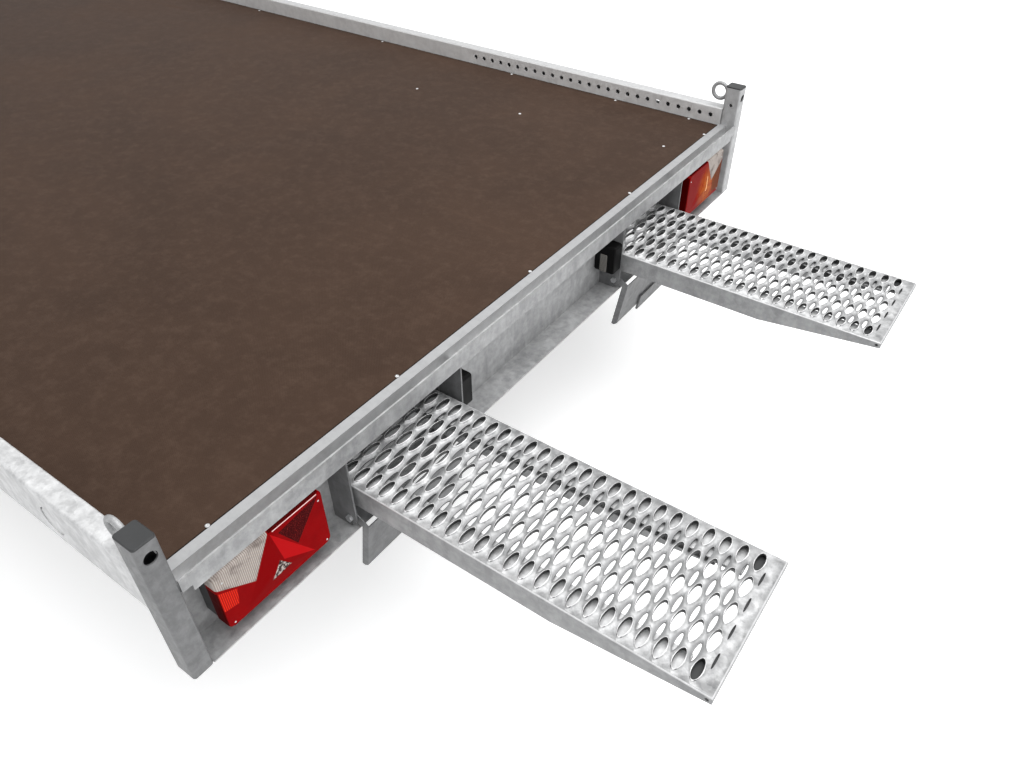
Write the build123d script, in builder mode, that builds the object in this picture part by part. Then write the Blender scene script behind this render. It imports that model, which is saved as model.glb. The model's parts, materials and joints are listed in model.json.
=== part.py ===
from build123d import *
import math
import os

# Car transporter trailer, millimetres. +X forward to the coupling, +Y left, +Z up, ground at z = 0.
# Sizes along X are given ahead of the rear plane, which the rear faces of the corner posts share.

# Overall driving sizes
inner_width = 2060
deck_length = 4500
deck_height = 660
deck_thickness = 15
sheet = 3
nose_reach = 1450
left_ramp_out = 725
right_ramp_out = 675

overall_length = max(left_ramp_out, right_ramp_out) + deck_length + nose_reach
rear_x = -overall_length / 2 + max(left_ramp_out, right_ramp_out)
half_inner = inner_width / 2
deck_gap = 2


def ahead(distance):
    # x of a place that lies this far ahead of the rear plane
    return rear_x + distance


def above(rise):
    # z of a place that lies this far above the deck surface
    return deck_height + rise


def span_box(x, y, z, mode=Mode.ADD):
    # a box between the low and high value on each axis
    with Locations(((x[0] + x[1]) / 2, (y[0] + y[1]) / 2, (z[0] + z[1]) / 2)):
        Box(x[1] - x[0], y[1] - y[0], z[1] - z[0], mode=mode)


def span_rectangle(u, v, mode=Mode.ADD):
    # a rectangle in the sketch plane between the low and high value on each axis
    with Locations(((u[0] + u[1]) / 2, (v[0] + v[1]) / 2)):
        Rectangle(u[1] - u[0], v[1] - v[0], mode=mode)


finished = []


def finish(name, part):
    # labels a sub-part and keeps it for writing
    part.label = name
    finished.append((name, part))


# Side beams: a box rail above the deck edge with a ledge below that carries the board
rail_width = 38
rail_rise = 53
rail_drop = 64
rail_corner = 5
ledge_reach = 30
post_length = 50
post_width = 40
tie_hole_radius = 7
tie_hole_first = 85.4
tie_hole_pitch = 36.8
tie_hole_count = 26
tie_hole_rise = 25.7
ledge_top = -deck_thickness

# Round recess in each rail's outer face near the rear post, with a plug a little below its middle
recess_ahead = 287
recess_drop = 13
recess_radius = 30
recess_plug_radius = 28.5
recess_fall = 1.4
recess_depth = 2


def tube_section(u, v, corner, wall):
    # a rectangular tube's section between the low and high values, with rounded corners
    with Locations(((u[0] + u[1]) / 2, (v[0] + v[1]) / 2)):
        RectangleRounded(u[1] - u[0], v[1] - v[0], corner)
        RectangleRounded(u[1] - u[0] - 2 * wall, v[1] - v[0] - 2 * wall, corner - wall, mode=Mode.SUBTRACT)


def rail_profile():
    # section of the rail: u outward from the inner face, v up from the deck surface
    tube_section((0, rail_width), (-rail_drop, rail_rise), rail_corner, sheet)
    span_rectangle((-ledge_reach, 0), (ledge_top - sheet, ledge_top))


with BuildPart() as side_beams:
    with BuildSketch(
        Plane(origin=(ahead(post_length), half_inner, deck_height), x_dir=(0, 1, 0), z_dir=(1, 0, 0))
    ):
        rail_profile()
    extrude(amount=deck_length - 2 * post_length)
    with BuildSketch(Plane.XZ.offset(-half_inner)):
        for number in range(tie_hole_count):
            with Locations((ahead(tie_hole_first + number * tie_hole_pitch), above(tie_hole_rise))):
                Circle(tie_hole_radius)
    extrude(amount=-sheet, mode=Mode.SUBTRACT)
    with BuildSketch(Plane.XZ.offset(-half_inner - rail_width)):
        with Locations((ahead(recess_ahead), above(-recess_drop))):
            Circle(recess_radius)
    extrude(amount=sheet, mode=Mode.SUBTRACT)
    with BuildSketch(Plane.XZ.offset(-half_inner)):
        with Locations((ahead(recess_ahead), above(-recess_drop - recess_fall))):
            Circle(recess_plug_radius)
    extrude(amount=-(rail_width - recess_depth))
    mirror(about=Plane.XZ)
finish("side_beams", side_beams.part)

with BuildPart() as front_rail:
    with BuildSketch(
        Plane(
            origin=(ahead(deck_length - rail_width), half_inner, deck_height),
            x_dir=(1, 0, 0),
            z_dir=(0, -1, 0),
        )
    ):
        rail_profile()
    extrude(amount=inner_width)
    for side in (1, -1):
        span_box(
            (ahead(deck_length - rail_width - ledge_reach), ahead(deck_length - rail_width)),
            sorted((side * (half_inner - ledge_reach), side * half_inner)),
            (above(ledge_top - sheet), above(ledge_top)),
            Mode.SUBTRACT,
        )
finish("front_rail", front_rail.part)

# Corner posts: square tubes that rise above the rails and end level with the rear beam's bottom flange
post_rise = 118
post_drop = 219
post_wall = 3
cap_thickness = 4
cap_plug = 15
cap_bevel = 1.5
post_corner = 6
post_hole_radius = 12
post_hole_rise = 88
post_side_hole_radius = 5
post_side_hole_rise = 67

with BuildPart() as corner_posts:
    with BuildSketch(Plane.XY.offset(above(-post_drop))):
        for low in (ahead(0), ahead(deck_length - post_length)):
            across = (half_inner, half_inner + post_width)
            tube_section((low, low + post_length), across, post_corner, post_wall)
    extrude(amount=post_drop + post_rise)
    with BuildSketch(Plane.YZ.offset(ahead(0))):
        with Locations((half_inner + post_width / 2, above(post_hole_rise))):
            Circle(post_hole_radius)
    extrude(amount=post_wall, mode=Mode.SUBTRACT)
    with BuildSketch(Plane.XZ.offset(-half_inner)):
        with Locations((ahead(post_length / 2), above(post_side_hole_rise))):
            Circle(post_side_hole_radius)
    extrude(amount=-post_wall, mode=Mode.SUBTRACT)
    mirror(about=Plane.XZ)
finish("corner_posts", corner_posts.part)

plug_length = post_length - 2 * post_wall
plug_width = post_width - 2 * post_wall

with BuildPart() as post_caps:
    for low in (ahead(0), ahead(deck_length - post_length)):
        middle = (low + post_length / 2, half_inner + post_width / 2)
        with BuildSketch(Plane.XY.offset(above(post_rise))):
            with Locations(middle):
                RectangleRounded(post_length, post_width, post_corner)
        extrude(amount=cap_thickness)
        with BuildSketch(Plane.XY.offset(above(post_rise))):
            with Locations(middle):
                RectangleRounded(plug_length, plug_width, post_corner - post_wall)
        extrude(amount=-cap_plug)
    chamfer(post_caps.faces().group_by(Axis.Z)[-1].edges(), cap_bevel)
    mirror(about=Plane.XZ)
finish("post_caps", post_caps.part)

# Ring eyes: closed rings welded to the front face of each rear post and the rear face of each front post
eye_ring_radius = 23
eye_wire_radius = 5.7
eye_rise = 97

with BuildPart() as ring_eyes:
    for centre, face, keep in (
        (ahead(post_length + eye_ring_radius), ahead(post_length), Keep.TOP),
        (ahead(deck_length - post_length - eye_ring_radius), ahead(deck_length - post_length), Keep.BOTTOM),
    ):
        ring = Pos(centre, half_inner + post_width / 2, above(eye_rise)) * Rot(90, 0, 0) * Torus(
            eye_ring_radius, eye_wire_radius, mode=Mode.PRIVATE
        )
        add(split(ring, bisect_by=Plane.YZ.offset(face), keep=keep, mode=Mode.PRIVATE))
    mirror(about=Plane.XZ)
finish("ring_eyes", ring_eyes.part)

# Deck board
trim_front = 51
board_rear = trim_front + deck_gap
board_front = deck_length - rail_width - deck_gap

with BuildPart() as deck_board:
    span_box(
        (ahead(board_rear), ahead(board_front)),
        (-half_inner + deck_gap, half_inner - deck_gap),
        (above(-deck_thickness), above(0)),
    )
finish("deck_board", deck_board.part)

# Rear beam: trim over the board's end, riser, shelf, web and bottom flange, open to the rear
trim_rise = 4
trim_rear = 28
shelf_drop = 37
web_rear = 62
beam_drop = post_drop
beam_front = web_rear + sheet

# Ramp shafts: two openings through the rear beam between the gussets
shaft_inset = 518
shaft_centre = half_inner - shaft_inset
shaft_width = 332
gusset_thickness = 4
shaft_floor_drop = 200
shaft_low = shaft_centre - shaft_width / 2
shaft_high = shaft_centre + shaft_width / 2

with BuildPart() as rear_beam:
    with BuildSketch(Plane.XZ):
        for low, high, bottom, top in (
            (trim_rear, trim_front, trim_rise - sheet, trim_rise),
            (trim_rear, trim_rear + sheet, -shelf_drop - sheet, trim_rise),
            (trim_rear, beam_front, -shelf_drop - sheet, -shelf_drop),
            (web_rear, beam_front, -beam_drop, -shelf_drop),
            (0, beam_front, -beam_drop, -beam_drop + sheet),
        ):
            span_rectangle((ahead(low), ahead(high)), (above(bottom), above(top)))
    extrude(amount=half_inner, both=True)
    for side in (1, -1):
        span_box(
            (ahead(web_rear), ahead(beam_front)),
            sorted((side * shaft_low, side * shaft_high)),
            (above(-shaft_floor_drop), above(-shelf_drop - sheet)),
            Mode.SUBTRACT,
        )
finish("rear_beam", rear_beam.part)

# Hook rail: a flat bar level with the posts' rear faces, over which the ramps hook
hook_rail_rise = 8
hook_rail_drop = 34
hook_rail_thickness = 4
notch_width = 18
notch_height = 14

with BuildPart() as hook_rail:
    with BuildSketch(Plane.YZ.offset(ahead(0))):
        span_rectangle((-half_inner, half_inner), (above(-hook_rail_drop), above(hook_rail_rise)))
        for side in (1, -1):
            span_rectangle(
                sorted((side * (half_inner - notch_width), side * half_inner)),
                (above(-hook_rail_drop), above(-hook_rail_drop + notch_height)),
                Mode.SUBTRACT,
            )
    extrude(amount=hook_rail_thickness)
finish("hook_rail", hook_rail.part)

# Gussets: plates beside each shaft from the web to the hook rail, rounded about the flap's pivot
pivot_ahead = 16
pivot_drop = 192
gusset_corner = 16
pivot_radius = 5
pivot_clearance = 0.05
gusset_top_rear = -6
gusset_top_front = -31
shelf_bottom = -shelf_drop - sheet
pivot_place = (ahead(pivot_ahead), above(-pivot_drop))

gusset_places = []
for centre in (shaft_centre, -shaft_centre):
    gusset_places.append(centre - shaft_width / 2 - gusset_thickness)
    gusset_places.append(centre + shaft_width / 2)

with BuildPart() as gussets:
    for low in gusset_places:
        with BuildSketch(Plane.XZ.offset(-low)):
            with BuildLine():
                Polyline(
                    (ahead(hook_rail_thickness), above(gusset_top_rear)),
                    (ahead(trim_rear), above(gusset_top_front)),
                    (ahead(trim_rear), above(shelf_bottom)),
                    (ahead(web_rear), above(shelf_bottom)),
                    (ahead(web_rear), above(-beam_drop + sheet)),
                    (ahead(pivot_ahead), above(-beam_drop + sheet)),
                    (ahead(pivot_ahead), above(-pivot_drop - gusset_corner)),
                )
                ThreePointArc(
                    (ahead(pivot_ahead), above(-pivot_drop - gusset_corner)),
                    (
                        ahead(pivot_ahead - gusset_corner * math.cos(math.pi / 4)),
                        above(-pivot_drop - gusset_corner * math.sin(math.pi / 4)),
                    ),
                    (ahead(pivot_ahead - gusset_corner), above(-pivot_drop)),
                )
                Polyline(
                    (ahead(pivot_ahead - gusset_corner), above(-pivot_drop)),
                    (ahead(0), above(-hook_rail_drop)),
                    (ahead(hook_rail_thickness), above(-hook_rail_drop)),
                    (ahead(hook_rail_thickness), above(gusset_top_rear)),
                )
            make_face()
            with Locations(pivot_place):
                Circle(pivot_radius, mode=Mode.SUBTRACT)
        extrude(amount=-gusset_thickness)
finish("gussets", gussets.part)

# Pivot bolts: one through each gusset, into the shaft, with a head on the far side
bolt_head_radius = 8
bolt_head_height = 6
ear_gap = 2
ear_thickness = 3
bolt_end = ear_gap + ear_thickness + 1

with BuildPart() as pivot_bolts:
    for centre in (shaft_centre, -shaft_centre):
        for side in (1, -1):
            inner = centre + side * (shaft_width / 2 - bolt_end)
            outer = centre + side * (shaft_width / 2 + gusset_thickness)
            with BuildSketch(Plane.XZ.offset(-inner)):
                with Locations(pivot_place):
                    Circle(pivot_radius)
            extrude(amount=-(outer - inner))
            with BuildSketch(Plane.XZ.offset(-outer)):
                with Locations(pivot_place):
                    RegularPolygon(bolt_head_radius, 6)
            extrude(amount=-side * bolt_head_height)
finish("pivot_bolts", pivot_bolts.part)

# Chassis beams: channels along both sides of each ramp shaft, their flanges turned away from it
beam_wall = 4
beam_flange = 40
beam_top_drop = deck_thickness + sheet
beam_rear = beam_front
beam_end = deck_length - beam_front

with BuildPart() as chassis_beams:
    for web_low, flange_low in (
        (shaft_low - gusset_thickness, shaft_low - gusset_thickness - beam_flange),
        (shaft_high, shaft_high + beam_wall),
    ):
        span_box(
            (ahead(beam_rear), ahead(beam_end)),
            (web_low, web_low + beam_wall),
            (above(-beam_drop), above(-beam_top_drop)),
        )
        for low in (-beam_drop, -beam_top_drop - beam_wall):
            span_box(
                (ahead(beam_rear), ahead(beam_end)),
                (flange_low, flange_low + beam_flange),
                (above(low), above(low + beam_wall)),
            )
    mirror(about=Plane.XZ)
finish("chassis_beams", chassis_beams.part)

# Front beam: a channel that closes the chassis under the front rail
with BuildPart() as front_beam:
    with BuildSketch(Plane.XZ):
        for low, high, bottom, top in (
            (-beam_front, -web_rear, -beam_drop, -beam_top_drop),
            (-beam_front, -rail_width, -beam_top_drop - sheet, -beam_top_drop),
            (-beam_front, 0, -beam_drop, -beam_drop + sheet),
        ):
            span_rectangle((ahead(deck_length + low), ahead(deck_length + high)), (above(bottom), above(top)))
    extrude(amount=half_inner, both=True)
finish("front_beam", front_beam.part)

# Cross members: inverted channels between the beams, high enough for the ramps to pass below
member_width = 40
member_height = 60
member_count = 8
member_first = 500
member_pitch = (deck_length - 2 * member_first) / (member_count - 1)
flange_inner = shaft_low - gusset_thickness
flange_outer = shaft_high + beam_wall

with BuildPart() as cross_members:
    for number in range(member_count):
        place = member_first + number * member_pitch
        for low, high in (
            (-half_inner, -flange_outer),
            (-shaft_high, -shaft_low),
            (-flange_inner, flange_inner),
            (shaft_low, shaft_high),
            (flange_outer, half_inner),
        ):
            with BuildSketch(Plane.XZ.offset(-low)):
                top = above(-beam_top_drop)
                if abs(low) != shaft_low and abs(low) != shaft_high:
                    top = above(-beam_top_drop - beam_wall)
                bottom = above(-beam_top_drop - member_height)
                rear = ahead(place - member_width / 2)
                front = ahead(place + member_width / 2)
                span_rectangle((rear, front), (bottom, top))
                span_rectangle((rear + sheet, front - sheet), (bottom, top - sheet), Mode.SUBTRACT)
            extrude(amount=-(high - low))
finish("cross_members", cross_members.part)

# Ramps: a folded plank with five rows of oval holes on two box stringers, tapered towards the tip
ramp_length = 2500
ramp_width = 309
ramp_top_drop = 115
plank_side = 28
ramp_side = 52
ramp_sheet = 3
fold_radius = 4
stringer_width = 60
stringer_wall = 2.5
taper_length = 290
tip_side = 14
oval_pitch = 31.9
oval_spacing = 62
oval_rows = 5
oval_length = 44
oval_width = 19
oval_margin = 40
oval_count = int((ramp_length - 2 * oval_margin) / oval_pitch) + 1
tread_inset = ramp_sheet

# Toe plates close the stringers' front ends, and a round hole in each side drains the tip
toe_start = 58
toe_end = 120
toe_drop = 17
drain_ahead = 9
drain_drop = 8
drain_radius = 3.5

# The hook at each ramp's root: a lip that turns down behind the hook rail
hook_half = 130
hook_reach = 22
hook_fall = 34
hook_thickness = 8

stringer_start = taper_length * (plank_side - tip_side) / (ramp_side - tip_side)
hollow_start = (stringer_start + taper_length) / 2
hollow_floor = (ramp_side + plank_side) / 2 - stringer_wall

# The ramp is drawn with its tip at x = 0, its centre line at y = 0 and its top at z = 0
with BuildPart() as ramp_frame:
    with BuildSketch(Plane.XZ.offset(-ramp_width / 2)):
        Polygon(
            (0, 0),
            (ramp_length, 0),
            (ramp_length, -plank_side),
            (stringer_start, -plank_side),
            (0, -tip_side),
            align=None,
        )
    extrude(amount=ramp_width)
    top_edges = ramp_frame.faces().sort_by(Axis.Z)[-1].edges()
    fillet(top_edges.filter_by(Axis.X) + top_edges.sort_by(Axis.X)[:1], fold_radius)
    span_box(
        (ramp_sheet, ramp_length),
        (-ramp_width / 2 + ramp_sheet, ramp_width / 2 - ramp_sheet),
        (-plank_side, 0),
        Mode.SUBTRACT,
    )
    with BuildSketch(Plane.XZ):
        with Locations((drain_ahead, -drain_drop)):
            Circle(drain_radius)
    extrude(amount=ramp_width / 2, both=True, mode=Mode.SUBTRACT)
    for outer in (ramp_width / 2, stringer_width - ramp_width / 2):
        with BuildSketch(Plane.XZ.offset(-outer)):
            Polygon(
                (stringer_start, -plank_side),
                (ramp_length, -plank_side),
                (ramp_length, -ramp_side),
                (taper_length, -ramp_side),
                align=None,
            )
            span_rectangle((toe_start, toe_end), (-toe_drop - ramp_sheet, -toe_drop))
            span_rectangle((toe_end - ramp_sheet, toe_end), (-plank_side, -toe_drop))
        extrude(amount=stringer_width)
        with BuildSketch(Plane.XZ.offset(stringer_wall - outer)):
            Polygon(
                (hollow_start, -plank_side - stringer_wall),
                (ramp_length, -plank_side - stringer_wall),
                (ramp_length, -ramp_side + stringer_wall),
                (taper_length, -ramp_side + stringer_wall),
                (hollow_start, -hollow_floor),
                align=None,
            )
        extrude(amount=stringer_width - 2 * stringer_wall, mode=Mode.SUBTRACT)
    with BuildSketch(Plane.XZ.offset(-hook_half)):
        span_rectangle((ramp_length - hook_thickness, ramp_length), (-plank_side, -ramp_sheet))
        span_rectangle((ramp_length, ramp_length + hook_reach), (-ramp_sheet - hook_thickness, -ramp_sheet))
        span_rectangle(
            (ramp_length + hook_reach, ramp_length + hook_reach + hook_thickness),
            (-ramp_sheet - hook_fall, -ramp_sheet),
        )
    extrude(amount=2 * hook_half)

tread_half = ramp_width / 2 - tread_inset

with BuildPart() as ramp_tread:
    with BuildSketch(Plane.XY.offset(-ramp_sheet)):
        span_rectangle((tread_inset, ramp_length), (-tread_half, tread_half))
        with Locations((oval_margin + (oval_count - 1) * oval_pitch / 2, 0)):
            with GridLocations(oval_pitch, oval_spacing, oval_count, oval_rows):
                SlotOverall(oval_length, oval_width, rotation=90, mode=Mode.SUBTRACT)
    extrude(amount=ramp_sheet)

for side_name, centre, out in (
    ("left", shaft_centre, left_ramp_out),
    ("right", -shaft_centre, right_ramp_out),
):
    ramp_place = Pos(ahead(-out), centre, above(-ramp_top_drop))
    finish("ramp_" + side_name, ramp_place * ramp_frame.part)
    finish("tread_" + side_name, ramp_place * ramp_tread.part)

# Ramp guides: angles on the shaft walls that the stringers slide on, with a stop at the front
guide_width = 25
guide_leg = 25
ramp_slip = 0.5
ramp_home = 70
stop_gap = 60
guide_top = -ramp_top_drop - ramp_side - ramp_slip
stop_length = 10
guide_end = ramp_home + ramp_length + stop_gap + stop_length

with BuildPart() as ramp_guides:
    for wall, turn in ((shaft_low, 1), (shaft_high, -1)):
        span_box(
            (ahead(beam_rear), ahead(guide_end)),
            sorted((wall, wall + turn * guide_width)),
            (above(guide_top - sheet), above(guide_top)),
        )
        span_box(
            (ahead(beam_rear), ahead(guide_end)),
            sorted((wall, wall + turn * sheet)),
            (above(guide_top - guide_leg), above(guide_top)),
        )
        span_box(
            (ahead(guide_end - stop_length), ahead(guide_end)),
            sorted((wall, wall + turn * guide_width)),
            (above(guide_top), above(-ramp_top_drop - plank_side)),
        )
    mirror(about=Plane.XZ)
finish("ramp_guides", ramp_guides.part)

# Flaps: folded pans on the pivot bolts, hanging with a small tilt, face plate to the rear
flap_tilt = 9.5
flap_face = 42
flap_height = 147
flap_side = 16
flap_sheet = 2.5
flap_top = 2
ear_radius = 16
ear_fall = 14
flap_corner = 8
grip_low = -140
grip_high = 47
grip_top = 106
grip_bottom = 155
grip_thickness = 6


def build_flap(name, centre):
    half = shaft_width / 2 - ear_gap
    tilt = math.radians(flap_tilt)
    frame = Plane(
        origin=(ahead(pivot_ahead), centre, above(-pivot_drop)),
        x_dir=(math.cos(tilt), 0, math.sin(tilt)),
        z_dir=(0, -1, 0),
    )
    with BuildPart() as flap:
        for low in (-half, half - ear_thickness):
            with BuildSketch(frame.offset(low)):
                Circle(ear_radius)
                Polygon(
                    (0, ear_radius),
                    (-flap_face, -flap_top),
                    (-flap_face, -flap_height + flap_corner),
                    (-flap_face + flap_corner, -flap_height),
                    (-flap_face + flap_side, -flap_height),
                    (-flap_face + flap_side, -ear_fall),
                    (0, -ear_radius),
                    align=None,
                )
                Circle(pivot_radius + pivot_clearance, mode=Mode.SUBTRACT)
            extrude(amount=ear_thickness)
        with BuildSketch(frame.offset(-half)):
            span_rectangle((-flap_face, -flap_face + flap_sheet), (-flap_height + flap_corner, -flap_top))
            span_rectangle(
                (-flap_face + flap_corner, -flap_face + flap_side),
                (-flap_height, -flap_height + flap_sheet),
            )
            Polygon(
                (-flap_face, -flap_height + flap_corner),
                (-flap_face + flap_corner, -flap_height),
                (-flap_face + flap_corner, -flap_height + flap_sheet),
                (-flap_face + flap_sheet, -flap_height + flap_corner),
                align=None,
            )
        extrude(amount=2 * half)
        with BuildSketch(frame.offset(-grip_high)):
            span_rectangle((-flap_face - grip_thickness, -flap_face), (-grip_bottom, -grip_top))
        extrude(amount=grip_high - grip_low)
    finish(name, flap.part)


build_flap("flap_left", shaft_centre)
build_flap("flap_right", -shaft_centre)

# Rear lamps on the web, with a housing and a lens each
lamp_width = 240
lamp_height = 140
lamp_inset = 47
lamp_outer = half_inner - lamp_inset
lamp_top_drop = 46
lamp_face = 3
lens_depth = 27
lamp_corner = 14
lens_edge = 4
housing_inset = 2

with BuildPart() as lamp_lenses:
    with BuildSketch(Plane.YZ.offset(ahead(lamp_face))):
        with Locations((lamp_outer - lamp_width / 2, above(-lamp_top_drop - lamp_height / 2))):
            RectangleRounded(lamp_width, lamp_height, lamp_corner)
    extrude(amount=lens_depth)
    fillet(lamp_lenses.faces().sort_by(Axis.X)[0].edges(), lens_edge)
    mirror(about=Plane.XZ)
finish("lamp_lenses", lamp_lenses.part)

with BuildPart() as lamp_housings:
    with BuildSketch(Plane.YZ.offset(ahead(lamp_face + lens_depth))):
        with Locations((lamp_outer - lamp_width / 2, above(-lamp_top_drop - lamp_height / 2))):
            RectangleRounded(lamp_width - 2 * housing_inset, lamp_height - 2 * housing_inset, lamp_corner)
    extrude(amount=web_rear - lamp_face - lens_depth)
    mirror(about=Plane.XZ)
finish("lamp_housings", lamp_housings.part)

# Number plate lamps: rounded boxes on the inner gussets that face each other
plate_lamp_depth = 35
plate_lamp_rear = 1
plate_lamp_top = -74
plate_lamp_height = 81
plate_lamp_corner = 7
plate_lamp_face = shaft_low - gusset_thickness

plate_lamp_middle = (
    ahead((plate_lamp_rear + web_rear) / 2),
    above(plate_lamp_top - plate_lamp_height / 2),
)

with BuildPart() as plate_lamps:
    with BuildSketch(Plane.XZ.offset(-plate_lamp_face)):
        with Locations(plate_lamp_middle):
            RectangleRounded(web_rear - plate_lamp_rear, plate_lamp_height, plate_lamp_corner)
    extrude(amount=plate_lamp_depth)
    fillet(plate_lamps.faces().sort_by(Axis.Y)[0].edges(), plate_lamp_corner / 2)
    mirror(about=Plane.XZ)
finish("plate_lamps", plate_lamps.part)

# Wheels: 13 inch steel rims and low tyres, on trailing arms under the deck
tyre_radius = 262.6
tyre_half_width = 99
tread_half_width = 72
side_wall_radius = 216
shoulder = 11
bead_radius = 170
bead_half = 72
bead_lip = 3
rim_flange_radius = 182
rim_flange_thickness = 4
rim_wall = 5
well_radius = 150
well_inner = -38
well_outer = 6
well_slope = 12
wheel_inset = 142
wheel_centre_y = half_inner - wheel_inset
axle_rear = 1800
axle_spacing = 620
axle_ahead = (axle_rear, axle_rear + axle_spacing)
spindle_radius = 17.5
spindle_clearance = 0.05
hub_radius = 45
disc_offset = 30
disc_thickness = 6
disc_flat_radius = 90
disc_slope = 0.53
drum_radius = 120
drum_wall = 8
drum_depth = 80
spindle_recess = 2
spindle_end_gap = 6
vent_count = 8
vent_radius = 9
vent_circle = 132
cap_radius = 27
cap_length = 30
cap_slope = 8

disc_inner = disc_offset - disc_thickness
drum_inner = disc_inner - drum_depth


def disc_at(radius, start):
    # place across the wheel of the sloping disc at a radius, from its place on the flat middle
    return start - (radius - disc_flat_radius) * disc_slope


with BuildPart() as rim:
    with BuildSketch(Plane.XY):
        Polygon(
            (spindle_radius + spindle_clearance, drum_inner),
            (hub_radius, drum_inner),
            (hub_radius, disc_inner - disc_thickness),
            (drum_radius - drum_wall, disc_inner - disc_thickness),
            (drum_radius - drum_wall, drum_inner),
            (drum_radius, drum_inner),
            (drum_radius, disc_at(drum_radius, disc_inner)),
            (well_radius - rim_wall, disc_at(well_radius - rim_wall, disc_inner)),
            (well_radius - rim_wall, well_inner - rim_wall / 2),
            (bead_radius - rim_wall, well_inner - well_slope - rim_wall / 2),
            (bead_radius - rim_wall, -bead_half - rim_flange_thickness),
            (rim_flange_radius, -bead_half - rim_flange_thickness),
            (rim_flange_radius, -bead_half),
            (bead_radius, -bead_half),
            (bead_radius, well_inner - well_slope),
            (well_radius, well_inner),
            (well_radius, well_outer),
            (bead_radius, well_outer + well_slope),
            (bead_radius, bead_half),
            (rim_flange_radius, bead_half),
            (rim_flange_radius, bead_half + rim_flange_thickness),
            (bead_radius - rim_wall, bead_half + rim_flange_thickness),
            (bead_radius - rim_wall, well_outer + well_slope + rim_wall / 2),
            (well_radius - rim_wall, well_outer + rim_wall / 2),
            (well_radius - rim_wall, disc_at(well_radius - rim_wall, disc_offset)),
            (disc_flat_radius, disc_offset),
            (cap_radius, disc_offset),
            (cap_radius, disc_offset + cap_length - cap_slope),
            (cap_radius - cap_slope, disc_offset + cap_length),
            (0, disc_offset + cap_length),
            (0, disc_offset - spindle_recess),
            (spindle_radius + spindle_clearance, disc_offset - spindle_recess),
            align=None,
        )
    revolve(axis=Axis.Y)
    with BuildSketch(Plane.XZ.offset(-disc_offset)):
        with PolarLocations(vent_circle, vent_count):
            Circle(vent_radius)
    extrude(amount=disc_offset - disc_at(well_radius, disc_inner), mode=Mode.SUBTRACT)

with BuildPart() as tyre:
    with BuildSketch(Plane.XY):
        with BuildLine():
            Polyline(
                (bead_radius, -bead_half),
                (bead_radius, bead_half),
                (rim_flange_radius + bead_lip, bead_half),
            )
            ThreePointArc(
                (rim_flange_radius + bead_lip, bead_half),
                (side_wall_radius, tyre_half_width),
                (tyre_radius - shoulder, tyre_half_width - shoulder),
            )
            Polyline(
                (tyre_radius - shoulder, tyre_half_width - shoulder),
                (tyre_radius, tread_half_width),
                (tyre_radius, -tread_half_width),
                (tyre_radius - shoulder, -tyre_half_width + shoulder),
            )
            ThreePointArc(
                (tyre_radius - shoulder, -tyre_half_width + shoulder),
                (side_wall_radius, -tyre_half_width),
                (rim_flange_radius + bead_lip, -bead_half),
            )
            Line((rim_flange_radius + bead_lip, -bead_half), (bead_radius, -bead_half))
        make_face()
    revolve(axis=Axis.Y)

wheel_places = [
    (end + "_" + side, ahead(distance), sign * wheel_centre_y, 0 if sign > 0 else 180)
    for end, distance in zip(("rear", "front"), axle_ahead)
    for side, sign in (("left", 1), ("right", -1))
]
for place_name, x, y, turn in wheel_places:
    place = Pos(x, y, tyre_radius) * Rot(0, 0, turn)
    finish("rim_" + place_name, place * rim.part)
    finish("tyre_" + place_name, place * tyre.part)

# Axles: square tubes with saddles under the chassis beams, trailing arms, spindles and backplates
axle_tube = 80
axle_wall = 5
axle_tube_lead = 150
axle_drop = 45
arm_inset = 146
saddle_wall = 6
axle_tube_height = deck_height - beam_drop - saddle_wall - axle_drop - axle_tube / 2
axle_half = wheel_centre_y - arm_inset
axle_corner = 10
arm_thickness = 25
arm_inner = axle_half
arm_end_radius = 38
backplate_radius = 118
backplate_thickness = 4
backplate_gap = 6
spindle_boss = 35
drum_inner_y = wheel_centre_y + drum_inner
saddle_length = axle_tube + 2 * saddle_wall
arm_length = math.hypot(axle_tube_lead, axle_tube_height - tyre_radius)
arm_rise = math.degrees(math.atan2(axle_tube_height - tyre_radius, axle_tube_lead))

with BuildPart() as axle_tubes:
    for distance in axle_ahead:
        middle = ahead(distance + axle_tube_lead)
        with BuildSketch(Plane.XZ.offset(-axle_half)):
            tube_section(
                (middle - axle_tube / 2, middle + axle_tube / 2),
                (axle_tube_height - axle_tube / 2, axle_tube_height + axle_tube / 2),
                axle_corner,
                axle_wall,
            )
        extrude(amount=2 * axle_half)
finish("axle_tubes", axle_tubes.part)

with BuildPart() as axle_saddles:
    for distance in axle_ahead:
        middle = distance + axle_tube_lead
        across = (shaft_high, shaft_high + beam_wall + beam_flange)
        span_box(
            (ahead(middle - saddle_length), ahead(middle + saddle_length)),
            across,
            (above(-beam_drop) - saddle_wall, above(-beam_drop)),
        )
        for low in (-axle_tube / 2 - saddle_wall, axle_tube / 2):
            span_box(
                (ahead(middle + low), ahead(middle + low + saddle_wall)),
                across,
                (axle_tube_height - axle_tube / 2 + axle_corner, above(-beam_drop) - saddle_wall),
            )
    mirror(about=Plane.XZ)
finish("axle_saddles", axle_saddles.part)

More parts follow.
